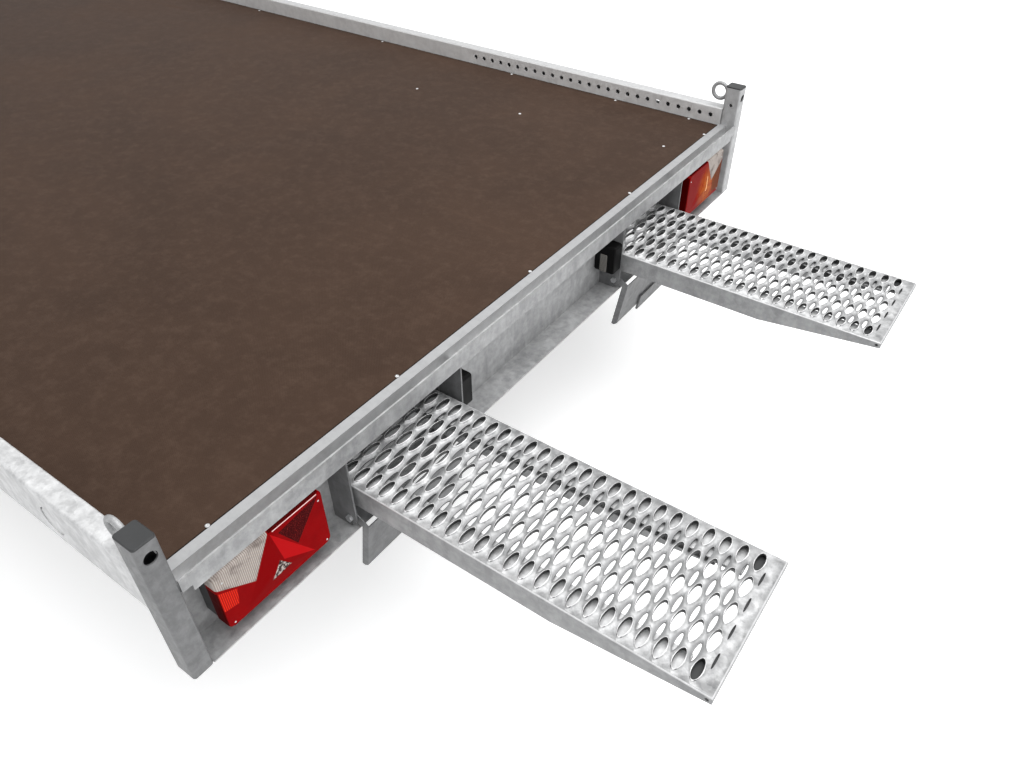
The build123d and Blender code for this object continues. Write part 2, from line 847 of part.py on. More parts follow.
with BuildPart() as swing_arms:
    for distance in axle_ahead:
        hub_place = (ahead(distance), tyre_radius)
        tube_place = (ahead(distance + axle_tube_lead), axle_tube_height)
        with BuildSketch(Plane.XZ.offset(-arm_inner)):
            with Locations(((hub_place[0] + tube_place[0]) / 2, (hub_place[1] + tube_place[1]) / 2)):
                SlotCenterToCenter(arm_length, 2 * arm_end_radius, rotation=arm_rise)
        extrude(amount=-arm_thickness)
        backplate_y = drum_inner_y - backplate_gap - backplate_thickness
        for radius, low, high in (
            (spindle_boss, arm_inner + arm_thickness, backplate_y),
            (backplate_radius, backplate_y, backplate_y + backplate_thickness),
            (spindle_radius, backplate_y, wheel_centre_y + disc_offset - spindle_recess - spindle_end_gap),
        ):
            with BuildSketch(Plane.XZ.offset(-low)):
                with Locations(hub_place):
                    Circle(radius)
            extrude(amount=-(high - low))
    mirror(about=Plane.XZ)
finish("swing_arms", swing_arms.part)

# Drawbar: two tubes under the chassis that converge towards the overrun device
drawbar_lap = 1500
drawbar_short = 500
nose = deck_length + nose_reach
drawbar_rear = deck_length - drawbar_lap
drawbar_front = nose - drawbar_short
drawbar_inset = 24
drawbar_rear_y = shaft_low - drawbar_inset
drawbar_front_y = 95
drawbar_tube_width = 60
drawbar_tube_height = 100
drawbar_wall = 4
drawbar_top = deck_height - beam_drop
drawbar_slope = (drawbar_rear_y - drawbar_front_y) / (drawbar_front - drawbar_rear)

with BuildPart() as drawbar_tubes:
    with BuildSketch(Plane.XY.offset(drawbar_top - drawbar_tube_height)):
        Polygon(
            (ahead(drawbar_rear), drawbar_rear_y - drawbar_tube_width / 2),
            (ahead(drawbar_front), drawbar_front_y - drawbar_tube_width / 2),
            (ahead(drawbar_front), drawbar_front_y + drawbar_tube_width / 2),
            (ahead(drawbar_rear), drawbar_rear_y + drawbar_tube_width / 2),
            align=None,
        )
    extrude(amount=drawbar_tube_height)
    with BuildSketch(Plane.XY.offset(drawbar_top - drawbar_tube_height + drawbar_wall)):
        Polygon(
            (ahead(drawbar_rear), drawbar_rear_y - drawbar_tube_width / 2 + drawbar_wall),
            (ahead(drawbar_front), drawbar_front_y - drawbar_tube_width / 2 + drawbar_wall),
            (ahead(drawbar_front), drawbar_front_y + drawbar_tube_width / 2 - drawbar_wall),
            (ahead(drawbar_rear), drawbar_rear_y + drawbar_tube_width / 2 - drawbar_wall),
            align=None,
        )
    extrude(amount=drawbar_tube_height - 2 * drawbar_wall, mode=Mode.SUBTRACT)
    mirror(about=Plane.XZ)
finish("drawbar_tubes", drawbar_tubes.part)

# Overrun device between the drawbar tubes, with draw tube, bellows and ball coupling
housing_lap = 300
housing_neck = 110
housing_rear = drawbar_front - housing_lap
housing_front = drawbar_front + housing_neck
housing_half = drawbar_front_y - drawbar_tube_width / 2
housing_rear_half = housing_half + (drawbar_front - housing_rear) * drawbar_slope
housing_wall = 5
draw_height = 430
housing_bottom = 370
housing_top = 480
guide_radius = 48
guide_collar = 54
collar_length = 22
draw_tube_radius = 25
sleeve_radius = 33
hood_length = 160
sleeve_length = 70
hood_rear = nose - hood_length
sleeve_rear = hood_rear - sleeve_length
hood_half = 40
hood_edge = 12
socket_inset = 55
socket_ahead = nose - socket_inset
socket_radius = 25.2
socket_height = 415
socket_skirt = 22
hood_bottom = socket_height - socket_skirt
hood_top = 472
bellows_ribs = 7
bellows_outer = 41
bellows_inner = 32

with BuildPart() as overrun_housing:
    for wall, top in ((0, housing_top), (housing_wall, housing_top - housing_wall)):
        with BuildSketch(Plane.XY.offset(housing_bottom)):
            Polygon(
                (ahead(housing_rear), -housing_rear_half + wall),
                (ahead(housing_rear), housing_rear_half - wall),
                (ahead(drawbar_front - wall), housing_half - wall),
                (ahead(drawbar_front - wall), -housing_half + wall),
                align=None,
            )
        extrude(amount=top - housing_bottom, mode=Mode.SUBTRACT if wall else Mode.ADD)
    with BuildSketch(Plane.YZ.offset(ahead(drawbar_front - housing_wall))):
        with Locations((0, draw_height)):
            Circle(guide_radius)
    extrude(amount=housing_front - drawbar_front + housing_wall)
    with BuildSketch(Plane.YZ.offset(ahead(housing_front))):
        with Locations((0, draw_height)):
            Circle(guide_collar)
    extrude(amount=-collar_length)
finish("overrun_housing", overrun_housing.part)

with BuildPart() as draw_tube:
    with BuildSketch(Plane.YZ.offset(ahead(housing_front))):
        with Locations((0, draw_height)):
            Circle(draw_tube_radius)
    extrude(amount=sleeve_rear - housing_front)
finish("draw_tube", draw_tube.part)

with BuildPart() as bellows:
    with BuildSketch(Plane.XZ):
        with BuildLine():
            pitch = (sleeve_rear - housing_front) / bellows_ribs
            points = [(ahead(housing_front), draw_height + draw_tube_radius)]
            points.append((ahead(housing_front), draw_height + bellows_inner))
            for number in range(bellows_ribs):
                start = housing_front + number * pitch
                points.append((ahead(start + pitch / 2), draw_height + bellows_outer))
                points.append((ahead(start + pitch), draw_height + bellows_inner))
            points.append((ahead(sleeve_rear), draw_height + draw_tube_radius))
            Polyline(*points, close=True)
        make_face()
    revolve(axis=Axis((0, 0, draw_height), (1, 0, 0)))
finish("bellows", bellows.part)

with BuildPart() as coupling_head:
    with BuildSketch(Plane.XY.offset(hood_bottom)):
        with Locations((ahead(nose - hood_half), 0)):
            Circle(hood_half)
        Polygon(
            (ahead(hood_rear), -sleeve_radius),
            (ahead(nose - hood_half), -hood_half),
            (ahead(nose - hood_half), hood_half),
            (ahead(hood_rear), sleeve_radius),
            align=None,
        )
    extrude(amount=hood_top - hood_bottom)
    fillet(coupling_head.faces().sort_by(Axis.Z)[-1].edges(), hood_edge)
    with BuildSketch(Plane.YZ.offset(ahead(sleeve_rear))):
        with Locations((0, draw_height)):
            Circle(sleeve_radius)
    extrude(amount=hood_rear + hood_half - sleeve_rear)
    with BuildSketch(Plane.XY.offset(hood_bottom)):
        with Locations((ahead(socket_ahead), 0)):
            Circle(socket_radius)
    extrude(amount=socket_height - hood_bottom, mode=Mode.SUBTRACT)
    with Locations((ahead(socket_ahead), 0, socket_height)):
        Sphere(socket_radius, mode=Mode.SUBTRACT)
finish("coupling_head", coupling_head.part)

# Coupling handle: a bent bar, bolted to the hood and raised towards the rear
handle_half = 12
handle_thickness = 6
handle_rise = 34
handle_inset = 45
handle_foot = 50
handle_bend = 14
handle_front = nose - handle_inset
handle_rear = sleeve_rear

with BuildPart() as coupling_handle:
    with BuildSketch(Plane.XZ.offset(-handle_half)):
        with BuildLine():
            FilletPolyline(
                (ahead(handle_rear), hood_top + handle_rise),
                (ahead(hood_rear), hood_top + handle_rise),
                (ahead(handle_front - handle_foot), hood_top + handle_thickness / 2),
                (ahead(handle_front), hood_top + handle_thickness / 2),
                radius=handle_bend,
            )
            offset(amount=handle_thickness / 2, side=Side.BOTH)
        make_face()
    extrude(amount=2 * handle_half)
finish("coupling_handle", coupling_handle.part)

# Hand brake lever on the overrun housing, drawn up as when parked
lever_inset = 150
lever_ahead = drawbar_front - lever_inset
lever_foot = housing_top
lever_length = 330
lever_lean = 18
lever_radius = 9
grip_radius = 14
grip_length = 110
lever_base = 60
lever_base_half = 20
lever_base_rise = 25
lever_root = 15

with BuildPart() as brake_lever:
    span_box(
        (ahead(lever_ahead - lever_base / 2), ahead(lever_ahead + lever_base / 2)),
        (-lever_base_half, lever_base_half),
        (lever_foot, lever_foot + lever_base_rise),
    )
    lean = math.radians(lever_lean)
    lever_plane = Plane(
        origin=(ahead(lever_ahead), 0, lever_foot + lever_root), z_dir=(-math.sin(lean), 0, math.cos(lean))
    )
    with BuildSketch(lever_plane):
        Circle(lever_radius)
    extrude(amount=lever_length)
    with BuildSketch(lever_plane.offset(lever_length - grip_length)):
        Circle(grip_radius)
    extrude(amount=grip_length)
finish("brake_lever", brake_lever.part)

# Brake rod from the overrun device back to the front axle
rod_radius = 6
rod_height = 385
rod_rear = axle_ahead[1] + axle_tube_lead + axle_tube / 2

with BuildPart() as brake_rod:
    with BuildSketch(Plane.YZ.offset(ahead(rod_rear))):
        with Locations((0, rod_height)):
            Circle(rod_radius)
    extrude(amount=housing_rear - rod_rear)
finish("brake_rod", brake_rod.part)

# Jockey wheel on the right of the drawbar: clamp, outer tube, inner tube with crank, fork and wheel
jockey_inset = 300
jockey_ahead = drawbar_front - jockey_inset
jockey_wheel_radius = 110
jockey_wheel_half = 30
jockey_trail = 45
jockey_outer_radius = 30
jockey_inner_radius = 24
jockey_outer_bottom = 300
jockey_outer_top = 840
jockey_fork_top = 250
jockey_slip = 0.05
swivel_pin_radius = 10
swivel_pin_length = 40
swivel_end_gap = 5
fork_plate = 6
fork_half = 46
fork_width = 50
fork_end = 20
fork_gap = 6
jockey_axle_radius = 8
clamp_reach = 12
clamp_inset = 5
clamp_bottom = drawbar_top - drawbar_tube_height + clamp_inset
clamp_top = drawbar_top - clamp_inset
drawbar_outer_y = drawbar_front_y + (drawbar_front - jockey_ahead) * drawbar_slope + drawbar_tube_width / 2
jockey_y = -(drawbar_outer_y + clamp_reach + jockey_outer_radius)
jockey_place = (ahead(jockey_ahead), jockey_y)
clamp_half = 30
clamp_wall = 8

with BuildPart() as jockey_clamp:
    with BuildSketch(Plane.XY.offset(clamp_bottom)):
        with Locations(jockey_place):
            Circle(jockey_outer_radius + clamp_wall)
        Polygon(
            (ahead(jockey_ahead - clamp_half), -drawbar_outer_y - clamp_half * drawbar_slope),
            (ahead(jockey_ahead - clamp_half), jockey_y),
            (ahead(jockey_ahead + clamp_half), jockey_y),
            (ahead(jockey_ahead + clamp_half), -drawbar_outer_y + clamp_half * drawbar_slope),
            align=None,
        )
        with Locations(jockey_place):
            Circle(jockey_outer_radius, mode=Mode.SUBTRACT)
    extrude(amount=clamp_top - clamp_bottom)
finish("jockey_clamp", jockey_clamp.part)

with BuildPart() as jockey_outer_tube:
    with BuildSketch(Plane.XY.offset(jockey_outer_bottom)):
        with Locations(jockey_place):
            Circle(jockey_outer_radius)
            Circle(jockey_inner_radius, mode=Mode.SUBTRACT)
    extrude(amount=jockey_outer_top - jockey_outer_bottom)
finish("jockey_outer_tube", jockey_outer_tube.part)

crank_rise = 30
crank_reach = 140
crank_radius = 7
knob_length = 80
knob_radius = 12

with BuildPart() as jockey_inner_tube:
    with BuildSketch(Plane.XY.offset(jockey_fork_top)):
        with Locations(jockey_place):
            Circle(jockey_inner_radius)
    extrude(amount=jockey_outer_top + crank_rise - jockey_fork_top)
    with BuildSketch(Plane.XY.offset(jockey_fork_top)):
        with Locations(jockey_place):
            Circle(swivel_pin_radius + jockey_slip)
    extrude(amount=swivel_pin_length + swivel_end_gap, mode=Mode.SUBTRACT)
    with BuildSketch(Plane.YZ.offset(ahead(jockey_ahead))):
        with Locations((jockey_y, jockey_outer_top + crank_rise - crank_radius)):
            Circle(crank_radius)
    extrude(amount=-crank_reach)
    with BuildSketch(Plane.XY.offset(jockey_outer_top + crank_rise - 2 * crank_radius)):
        with Locations((ahead(jockey_ahead - crank_reach), jockey_y)):
            Circle(knob_radius)
    extrude(amount=knob_length)
finish("jockey_inner_tube", jockey_inner_tube.part)

with BuildPart() as jockey_fork:
    with BuildSketch(Plane.XY.offset(jockey_fork_top - fork_gap / 2 - fork_plate)):
        span_rectangle(
            (ahead(jockey_ahead - jockey_trail - fork_width / 2), ahead(jockey_ahead + fork_width / 2)),
            (jockey_y - fork_half, jockey_y + fork_half),
        )
    extrude(amount=fork_plate)
    for low in (jockey_y - fork_half, jockey_y + fork_half - fork_plate):
        with BuildSketch(Plane.XZ.offset(-low)):
            wheel_x = ahead(jockey_ahead - jockey_trail)
            with Locations((wheel_x, jockey_wheel_radius)):
                Circle(fork_end)
            Polygon(
                (wheel_x - fork_end, jockey_wheel_radius),
                (wheel_x + fork_end, jockey_wheel_radius),
                (ahead(jockey_ahead + fork_width / 2), jockey_fork_top - fork_gap / 2),
                (wheel_x - fork_width / 2, jockey_fork_top - fork_gap / 2),
                align=None,
            )
        extrude(amount=-fork_plate)
    with BuildSketch(Plane.XZ.offset(-(jockey_y - fork_half))):
        with Locations((wheel_x, jockey_wheel_radius)):
            Circle(jockey_axle_radius)
    extrude(amount=-2 * fork_half)
    with BuildSketch(Plane.XY.offset(jockey_fork_top - fork_gap / 2)):
        with Locations(jockey_place):
            Circle(swivel_pin_radius)
    extrude(amount=fork_gap / 2 + swivel_pin_length)
finish("jockey_fork", jockey_fork.part)

jockey_rim_radius = 60
jockey_rim_inset = 5
jockey_hub_radius = 22
jockey_hub_lip = 4
jockey_tyre_edge = 8

with BuildPart() as jockey_rim:
    for radius, half in (
        (jockey_hub_radius, jockey_wheel_half + jockey_hub_lip),
        (jockey_rim_radius, jockey_wheel_half - jockey_rim_inset),
    ):
        with BuildSketch(Plane.XZ.offset(-(jockey_y - half))):
            with Locations((wheel_x, jockey_wheel_radius)):
                Circle(radius)
        extrude(amount=-2 * half)
    with BuildSketch(Plane.XZ.offset(-jockey_y)):
        with Locations((wheel_x, jockey_wheel_radius)):
            Circle(jockey_axle_radius + jockey_slip)
    extrude(amount=jockey_wheel_half + jockey_hub_lip, both=True, mode=Mode.SUBTRACT)
finish("jockey_rim", jockey_rim.part)

with BuildPart() as jockey_tyre:
    with BuildSketch(Plane.XZ.offset(-(jockey_y - jockey_wheel_half))):
        with Locations((wheel_x, jockey_wheel_radius)):
            Circle(jockey_wheel_radius)
            Circle(jockey_rim_radius, mode=Mode.SUBTRACT)
    extrude(amount=-2 * jockey_wheel_half)
    fillet(jockey_tyre.edges().filter_by(GeomType.CIRCLE).group_by(SortBy.RADIUS)[-1], jockey_tyre_edge)
finish("jockey_tyre", jockey_tyre.part)

os.makedirs("parts", exist_ok=True)
for name, part in finished:
    export_step(part, "parts/" + name + ".step")
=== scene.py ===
import json
import bpy
import numpy as np
from mathutils import Matrix, Vector


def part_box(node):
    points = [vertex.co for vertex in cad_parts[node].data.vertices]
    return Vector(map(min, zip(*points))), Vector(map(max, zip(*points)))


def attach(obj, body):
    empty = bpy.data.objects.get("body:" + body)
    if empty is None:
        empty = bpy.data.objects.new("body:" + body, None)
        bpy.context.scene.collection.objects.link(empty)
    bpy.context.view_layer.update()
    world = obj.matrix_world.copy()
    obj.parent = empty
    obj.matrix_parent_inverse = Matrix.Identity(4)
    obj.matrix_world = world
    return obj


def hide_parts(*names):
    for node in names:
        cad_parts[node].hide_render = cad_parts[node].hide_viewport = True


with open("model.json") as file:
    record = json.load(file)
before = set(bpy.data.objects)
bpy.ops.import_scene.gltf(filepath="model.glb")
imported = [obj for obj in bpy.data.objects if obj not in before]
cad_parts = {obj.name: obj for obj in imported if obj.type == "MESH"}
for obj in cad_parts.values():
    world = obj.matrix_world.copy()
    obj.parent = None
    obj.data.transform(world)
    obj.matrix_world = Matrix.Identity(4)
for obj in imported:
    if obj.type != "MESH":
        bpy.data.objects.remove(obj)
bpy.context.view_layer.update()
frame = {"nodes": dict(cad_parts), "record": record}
nodes = frame["nodes"]

# places shared by the pieces, in metres
rearX = -2.6125  # rear faces of the corner posts
deckZ = 0.660  # top of the deck board
halfInner = 1.030  # from the centre line to a side beam's inner face
rampTop = deckZ - 0.115  # top of the ramps' gratings
print("frame loaded,", len(nodes), "nodes")


def putMesh(name, verts, faces, material, smooth=True):
    # verts is one array of points, faces a list of index arrays with one row for each face
    mesh = bpy.data.meshes.new(name)
    verts = np.asarray(verts, float).reshape(-1, 3)
    loops = np.concatenate([f.reshape(-1) for f in faces]).astype(np.int32)
    sizes = np.concatenate([np.full(len(f), f.shape[1]) for f in faces]).astype(np.int32)
    starts = np.concatenate([[0], np.cumsum(sizes)[:-1]]).astype(np.int32)
    mesh.vertices.add(len(verts))
    mesh.vertices.foreach_set("co", verts.astype(np.float32).reshape(-1))
    mesh.loops.add(len(loops))
    mesh.loops.foreach_set("vertex_index", loops)
    mesh.polygons.add(len(sizes))
    mesh.polygons.foreach_set("loop_start", starts)
    mesh.polygons.foreach_set("loop_total", sizes)
    mesh.update(calc_edges=True)
    mesh.validate()
    mesh.polygons.foreach_set("use_smooth", np.full(len(mesh.polygons), smooth))
    obj = bpy.data.objects.new(name, mesh)
    bpy.context.scene.collection.objects.link(obj)
    obj.data.materials.append(material)
    return obj


def faceValues(obj, what):
    # one vector for each face, its normal or its center
    values = np.zeros(len(obj.data.polygons) * 3)
    obj.data.polygons.foreach_get(what, values)
    return values.reshape(-1, 3)


def addMaterial(obj, material, chosen):
    # a second material, for the faces where chosen is true
    obj.data.materials.append(material)
    obj.data.polygons.foreach_set("material_index", chosen.astype(np.int32))


def gridFaces(rows, columns, wrapColumns=False):
    # quads between neighbours of a rows by columns lattice of points
    i = np.arange(rows - 1)[:, None] * columns
    j = np.arange(columns if wrapColumns else columns - 1)[None, :]
    beside = (j + 1) % columns
    quads = np.stack([i + j, i + beside, i + columns + beside, i + columns + j], -1)
    return quads.reshape(-1, 4)


def repeatPiece(verts, faces, places):
    # one small shape copied to each place by adding the place to every point
    count = len(verts)
    allVerts = (verts[None] + np.asarray(places)[:, None]).reshape(-1, 3)
    shift = (np.arange(len(places)) * count)[:, None, None]
    return allVerts, [(f[None] + shift).reshape(-1, f.shape[1]) for f in faces]


def joinArrays(parts):
    # several (verts, faces) pairs as one
    verts, faces, start = [], [], 0
    for v, fs in parts:
        verts.append(v)
        faces += [f + start for f in fs]
        start += len(v)
    return np.concatenate(verts), faces


def weld(verts, faces, grain=2e-6):
    # points that share a place become one, and a quad whose side has no length becomes a triangle
    keys = np.round(verts / grain).astype(np.int64)
    _, first, index = np.unique(keys, axis=0, return_index=True, return_inverse=True)
    joined = []
    for f in faces:
        f = index.reshape(-1)[f]
        doubled = f == np.roll(f, -1, axis=1)
        joined.append(f[~doubled.any(1)])
        if f.shape[1] == 4:
            once = doubled.sum(1) == 1
            joined.append(f[once][~doubled[once]].reshape(-1, 3))
    return verts[first], joined


def startMaterial(name):
    # an empty material with one Principled shader, and the object coordinates
    mat = bpy.data.materials.new(name)
    mat.use_nodes = True
    tree = mat.node_tree
    tree.nodes.clear()
    out = tree.nodes.new("ShaderNodeOutputMaterial")
    shader = tree.nodes.new("ShaderNodeBsdfPrincipled")
    tree.links.new(shader.outputs["BSDF"], out.inputs["Surface"])
    coord = tree.nodes.new("ShaderNodeTexCoord").outputs["Object"]
    return mat, tree, shader, coord


def stretched(tree, vector, scale, turn=(0, 0, 0)):
    # a place scaled and turned
    node = tree.nodes.new("ShaderNodeMapping")
    tree.links.new(vector, node.inputs["Vector"])
    node.inputs["Scale"].default_value = scale
    node.inputs["Rotation"].default_value = turn
    return node.outputs["Vector"]


def noise(tree, vector, scale, detail, roughness, distortion=0.0):
    # clouds from 0 to 1
    node = tree.nodes.new("ShaderNodeTexNoise")
    tree.links.new(vector, node.inputs["Vector"])
    node.inputs["Scale"].default_value = scale
    node.inputs["Detail"].default_value = detail
    node.inputs["Roughness"].default_value = roughness
    node.inputs["Distortion"].default_value = distortion
    return node.outputs["Fac"]


def cells(tree, vector, scale):
    # a random colour for each cell
    node = tree.nodes.new("ShaderNodeTexVoronoi")
    tree.links.new(vector, node.inputs["Vector"])
    node.inputs["Scale"].default_value = scale
    return node.outputs["Color"]


def spread(tree, value, low, high, toLow=0.0, toHigh=1.0):
    # a soft step from toLow at low to toHigh at high
    node = tree.nodes.new("ShaderNodeMapRange")
    node.interpolation_type = "SMOOTHSTEP"
    tree.links.new(value, node.inputs["Value"])
    sockets = ("From Min", "From Max", "To Min", "To Max")
    for socket, number in zip(sockets, (low, high, toLow, toHigh)):
        node.inputs[socket].default_value = number
    return node.outputs["Result"]


def combine(tree, operation, a, b=0.0):
    # one sum on two values, where each may be a number or a socket
    node = tree.nodes.new("ShaderNodeMath")
    node.operation = operation
    for socket, value in zip(node.inputs, (a, b)):
        if isinstance(value, (int, float)):
            socket.default_value = value
        else:
            tree.links.new(value, socket)
    return node.outputs[0]


def plus(tree, a, b):
    return combine(tree, "ADD", a, b)


def times(tree, a, b):
    return combine(tree, "MULTIPLY", a, b)


def greatest(tree, first, *others):
    for other in others:
        first = combine(tree, "MAXIMUM", first, other)
    return first


def shares(tree, *parts):
    # the sum of each value times its share
    total = times(tree, *parts[0])
    for value, share in parts[1:]:
        total = plus(tree, total, times(tree, value, share))
    return total


def mixRGBA(tree, factor, a, b):
    # a + factor (b - a), where each may be a number, a colour or a socket
    node = tree.nodes.new("ShaderNodeMix")
    node.data_type = "RGBA"
    sockets = (node.inputs[0], node.inputs[6], node.inputs[7])
    for socket, value in zip(sockets, (factor, a, b)):
        if isinstance(value, tuple):
            socket.default_value = (*value, 1)
        elif isinstance(value, (int, float)):
            socket.default_value = value
        else:
            tree.links.new(value, socket)
    return node.outputs[2]


def bump(tree, shader, height, strength, distance):
    node = tree.nodes.new("ShaderNodeBump")
    node.inputs["Strength"].default_value = strength
    node.inputs["Distance"].default_value = distance
    tree.links.new(height, node.inputs["Height"])
    tree.links.new(node.outputs["Normal"], shader.inputs["Normal"])


def axisOf(tree, vector, axis):
    node = tree.nodes.new("ShaderNodeSeparateXYZ")
    tree.links.new(vector, node.inputs[0])
    return node.outputs[axis]


def ribbed(tree, value, width):
    # a wave from -1 to 1 and back over each width
    return combine(tree, "SINE", times(tree, value, 2 * np.pi / width))


# the camera stands where the photograph was taken from, solved from the edges of rails, posts and ramps
cameraLook = {
    "place": (-3.4431, 1.3285, 1.6803), "forward": (0.44035, -0.61859, -0.65072),
    "up": (0.37543, -0.53151, 0.75931), "lens": 28.24, "sensor": 36, "farthest": 100,
}
forward = Vector(cameraLook["forward"]).normalized()
right = forward.cross(Vector(cameraLook["up"])).normalized()
up = right.cross(forward)
cameraData = bpy.data.cameras.new("camera")
cameraData.lens = cameraLook["lens"]
cameraData.sensor_width = cameraLook["sensor"]
cameraData.clip_end = cameraLook["farthest"]
camera = bpy.data.objects.new("camera", cameraData)
bpy.context.scene.collection.objects.link(camera)
cameraTurn = Matrix((right, up, -forward)).transposed().to_4x4()
camera.matrix_world = Matrix.Translation(cameraLook["place"]) @ cameraTurn
bpy.context.scene.camera = camera
print("camera placed")

# what a zinc takes unless its look says otherwise; a shift is an axis, the stretch over which it
# comes in and the colour that it brings, which paints light or shade on that stretch
zincBase = {"metal": 0.35, "rough": (0.40, 0.60), "flake": 70, "bump": 0.25, "shifts": ()}
zincLook = {
    "plain": {"dark": (0.21, 0.212, 0.215), "light": (0.49, 0.492, 0.495)},
    "bright": {
        "dark": (0.42, 0.422, 0.425), "light": (0.86, 0.862, 0.865),
        "rough": (0.34, 0.52), "flake": 90, "bump": 0.3,
    },
    "rail": {
        "dark": (0.36, 0.362, 0.365), "light": (0.78, 0.782, 0.785),
        "rough": (0.36, 0.55), "flake": 80, "bump": 0.3,
        "shifts": (
            # painted light and shade: these faces are set darker or lighter for the light that falls on them
            (1, (1.0690, 1.0699), (0.30, 0.302, 0.305)),  # outer face of the left beam
            (1, (-1.0260, -1.0295), (0.80, 0.80, 0.795)),  # inner face of the right beam
            (1, (-1.0303, -1.0320), (0.50, 0.502, 0.505)),  # the rest of the right beam
        ),
    },
    "wall": {
        "dark": (0.02, 0.02, 0.021), "light": (0.07, 0.071, 0.072),
        "metal": 0.2, "rough": (0.5, 0.7), "flake": 90, "bump": 0.2,
    },
    # painted shade: a darker zinc for parts that lie in shade
    "dusk": {"dark": (0.095, 0.096, 0.098), "light": (0.23, 0.232, 0.235), "rough": (0.42, 0.62)},
    "grating": {
        "dark": (0.16, 0.162, 0.165), "light": (0.68, 0.682, 0.685),
        "metal": 0.30, "rough": (0.36, 0.52), "flake": 90, "bump": 0.4,
        "shifts": (
            # painted shade in the pressed slits and a painted highlight on the raised lips
            (2, (rampTop - 0.0008, rampTop - 0.0032), (0.22, 0.222, 0.225)),  # pressed slits
            (2, (rampTop + 0.0016, rampTop + 0.0030), (0.97, 0.97, 0.97)),  # raised lips
        ),
    },
    "ramp": {
        "dark": (0.18, 0.182, 0.185), "light": (0.42, 0.422, 0.425),
        # painted highlight along the fold at the top of the ramp's sides
        "shifts": ((2, (rampTop - 0.0026, rampTop - 0.0010), (0.66, 0.662, 0.665)),),
    },
    "rear": {
        "dark": (0.21, 0.212, 0.215), "light": (0.49, 0.492, 0.495),
        "shifts": (
            # the riser and shelf are painted lighter as painted light, and the trim over the board is painted
            # back down to a darker tone
            (2, (deckZ - 0.034, deckZ - 0.029), (0.54, 0.542, 0.545)),  # riser and shelf
            (2, (deckZ + 0.0028, deckZ + 0.0036), (0.35, 0.352, 0.355)),  # trim over the board
        ),
    },
    "post": {
        "dark": (0.095, 0.096, 0.098), "light": (0.245, 0.247, 0.25),
        "rough": (0.42, 0.62), "bump": 0.3,
        # painted light: the posts on the right are painted lighter than those on the left
        "shifts": ((1, (0.5, -0.5), (0.50, 0.502, 0.505)),),  # posts on the right
    },
    "plated": {
        "dark": (0.50, 0.505, 0.515), "light": (0.66, 0.665, 0.675),
        "metal": 0.85, "rough": (0.28, 0.40), "flake": 400, "bump": 0.05,
    },
}
# what every zinc shares: the scales of its patterns, how much each gives to the tone, the bump's height
zincGrain = {
    "patch": 9, "fine": 260, "mottle": 42, "runs": (60, 60, 7), "height": 0.0004, "shiftFloor": 0.75,
    "share": {"flake": 0.22, "patch": 0.25, "mottle": 0.30, "runs": 0.20, "fine": 0.15},
}


def zinc(name, look, grain=zincGrain):
    # crystals from cell noise, cloudy patches and short runs that hang down, in object coordinates;
    # tone = the sum of share times pattern, and colour = dark + tone (light - dark)
    mat, tree, shader, coord = startMaterial(name)
    look = {**zincBase, **look}
    share = grain["share"]
    flake = axisOf(tree, cells(tree, coord, look["flake"]), 0)
    patch = noise(tree, coord, grain["patch"], 4, 0.6)
    fine = noise(tree, coord, grain["fine"], 3, 0.6)
    runs = noise(tree, stretched(tree, coord, grain["runs"]), 1, 3, 0.55)
    mottle = spread(tree, noise(tree, coord, grain["mottle"], 4, 0.7), 0.38, 0.66)
    tone = shares(
        tree, (flake, share["flake"]), (spread(tree, patch, 0.3, 0.7), share["patch"]),
        (mottle, share["mottle"]), (spread(tree, runs, 0.3, 0.75), share["runs"]), (fine, share["fine"]),
    )
    colour = mixRGBA(tree, tone, look["dark"], look["light"])
    floor = grain["shiftFloor"]
    # each shift paints light or shade onto its stretch
    for axis, reach, shifted in look["shifts"]:
        amount = plus(tree, times(tree, mottle, 1 - floor), floor)
        part = times(tree, spread(tree, axisOf(tree, coord, axis), *reach), amount)
        colour = mixRGBA(tree, part, colour, shifted)
    tree.links.new(colour, shader.inputs["Base Color"])
    rough = spread(tree, plus(tree, flake, fine), 0.3, 1.6, *look["rough"])
    tree.links.new(rough, shader.inputs["Roughness"])
    shader.inputs["Metallic"].default_value = look["metal"]
    bump(tree, shader, plus(tree, fine, times(tree, runs, 2)), look["bump"], grain["height"])
    return mat


plyLook = {
    "brown": (0.053, 0.031, 0.021), "worn": (0.102, 0.066, 0.048), "dark": (0.036, 0.0205, 0.0138),
    "seam": (0.004, 0.003, 0.003), "mesh": 0.0032, "cloud": 2.2, "scuff": (2.5, 60, 1),
    "grain": 420, "patch": 34, "shine": 0.06, "rough": (0.55, 0.70), "height": 0.0003,
    "edges": (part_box("deck_board")[0][0], halfInner), "gap": 0.003, "fade": 0.0015,
}


def crossedWaves(tree, coord, width):
    # the product of two waves at 45 and -45 degrees, as a wire mesh presses them into the film
    waves = []
    for turn in (np.pi / 4, -np.pi / 4):
        node = tree.nodes.new("ShaderNodeTexWave")
        turnedPlace = stretched(tree, coord, (1, 1, 1), (0, 0, turn))
        tree.links.new(turnedPlace, node.inputs["Vector"])
        node.inputs["Scale"].default_value = np.pi / 10 / width
        waves.append(node.outputs["Fac"])
    return times(tree, *waves)


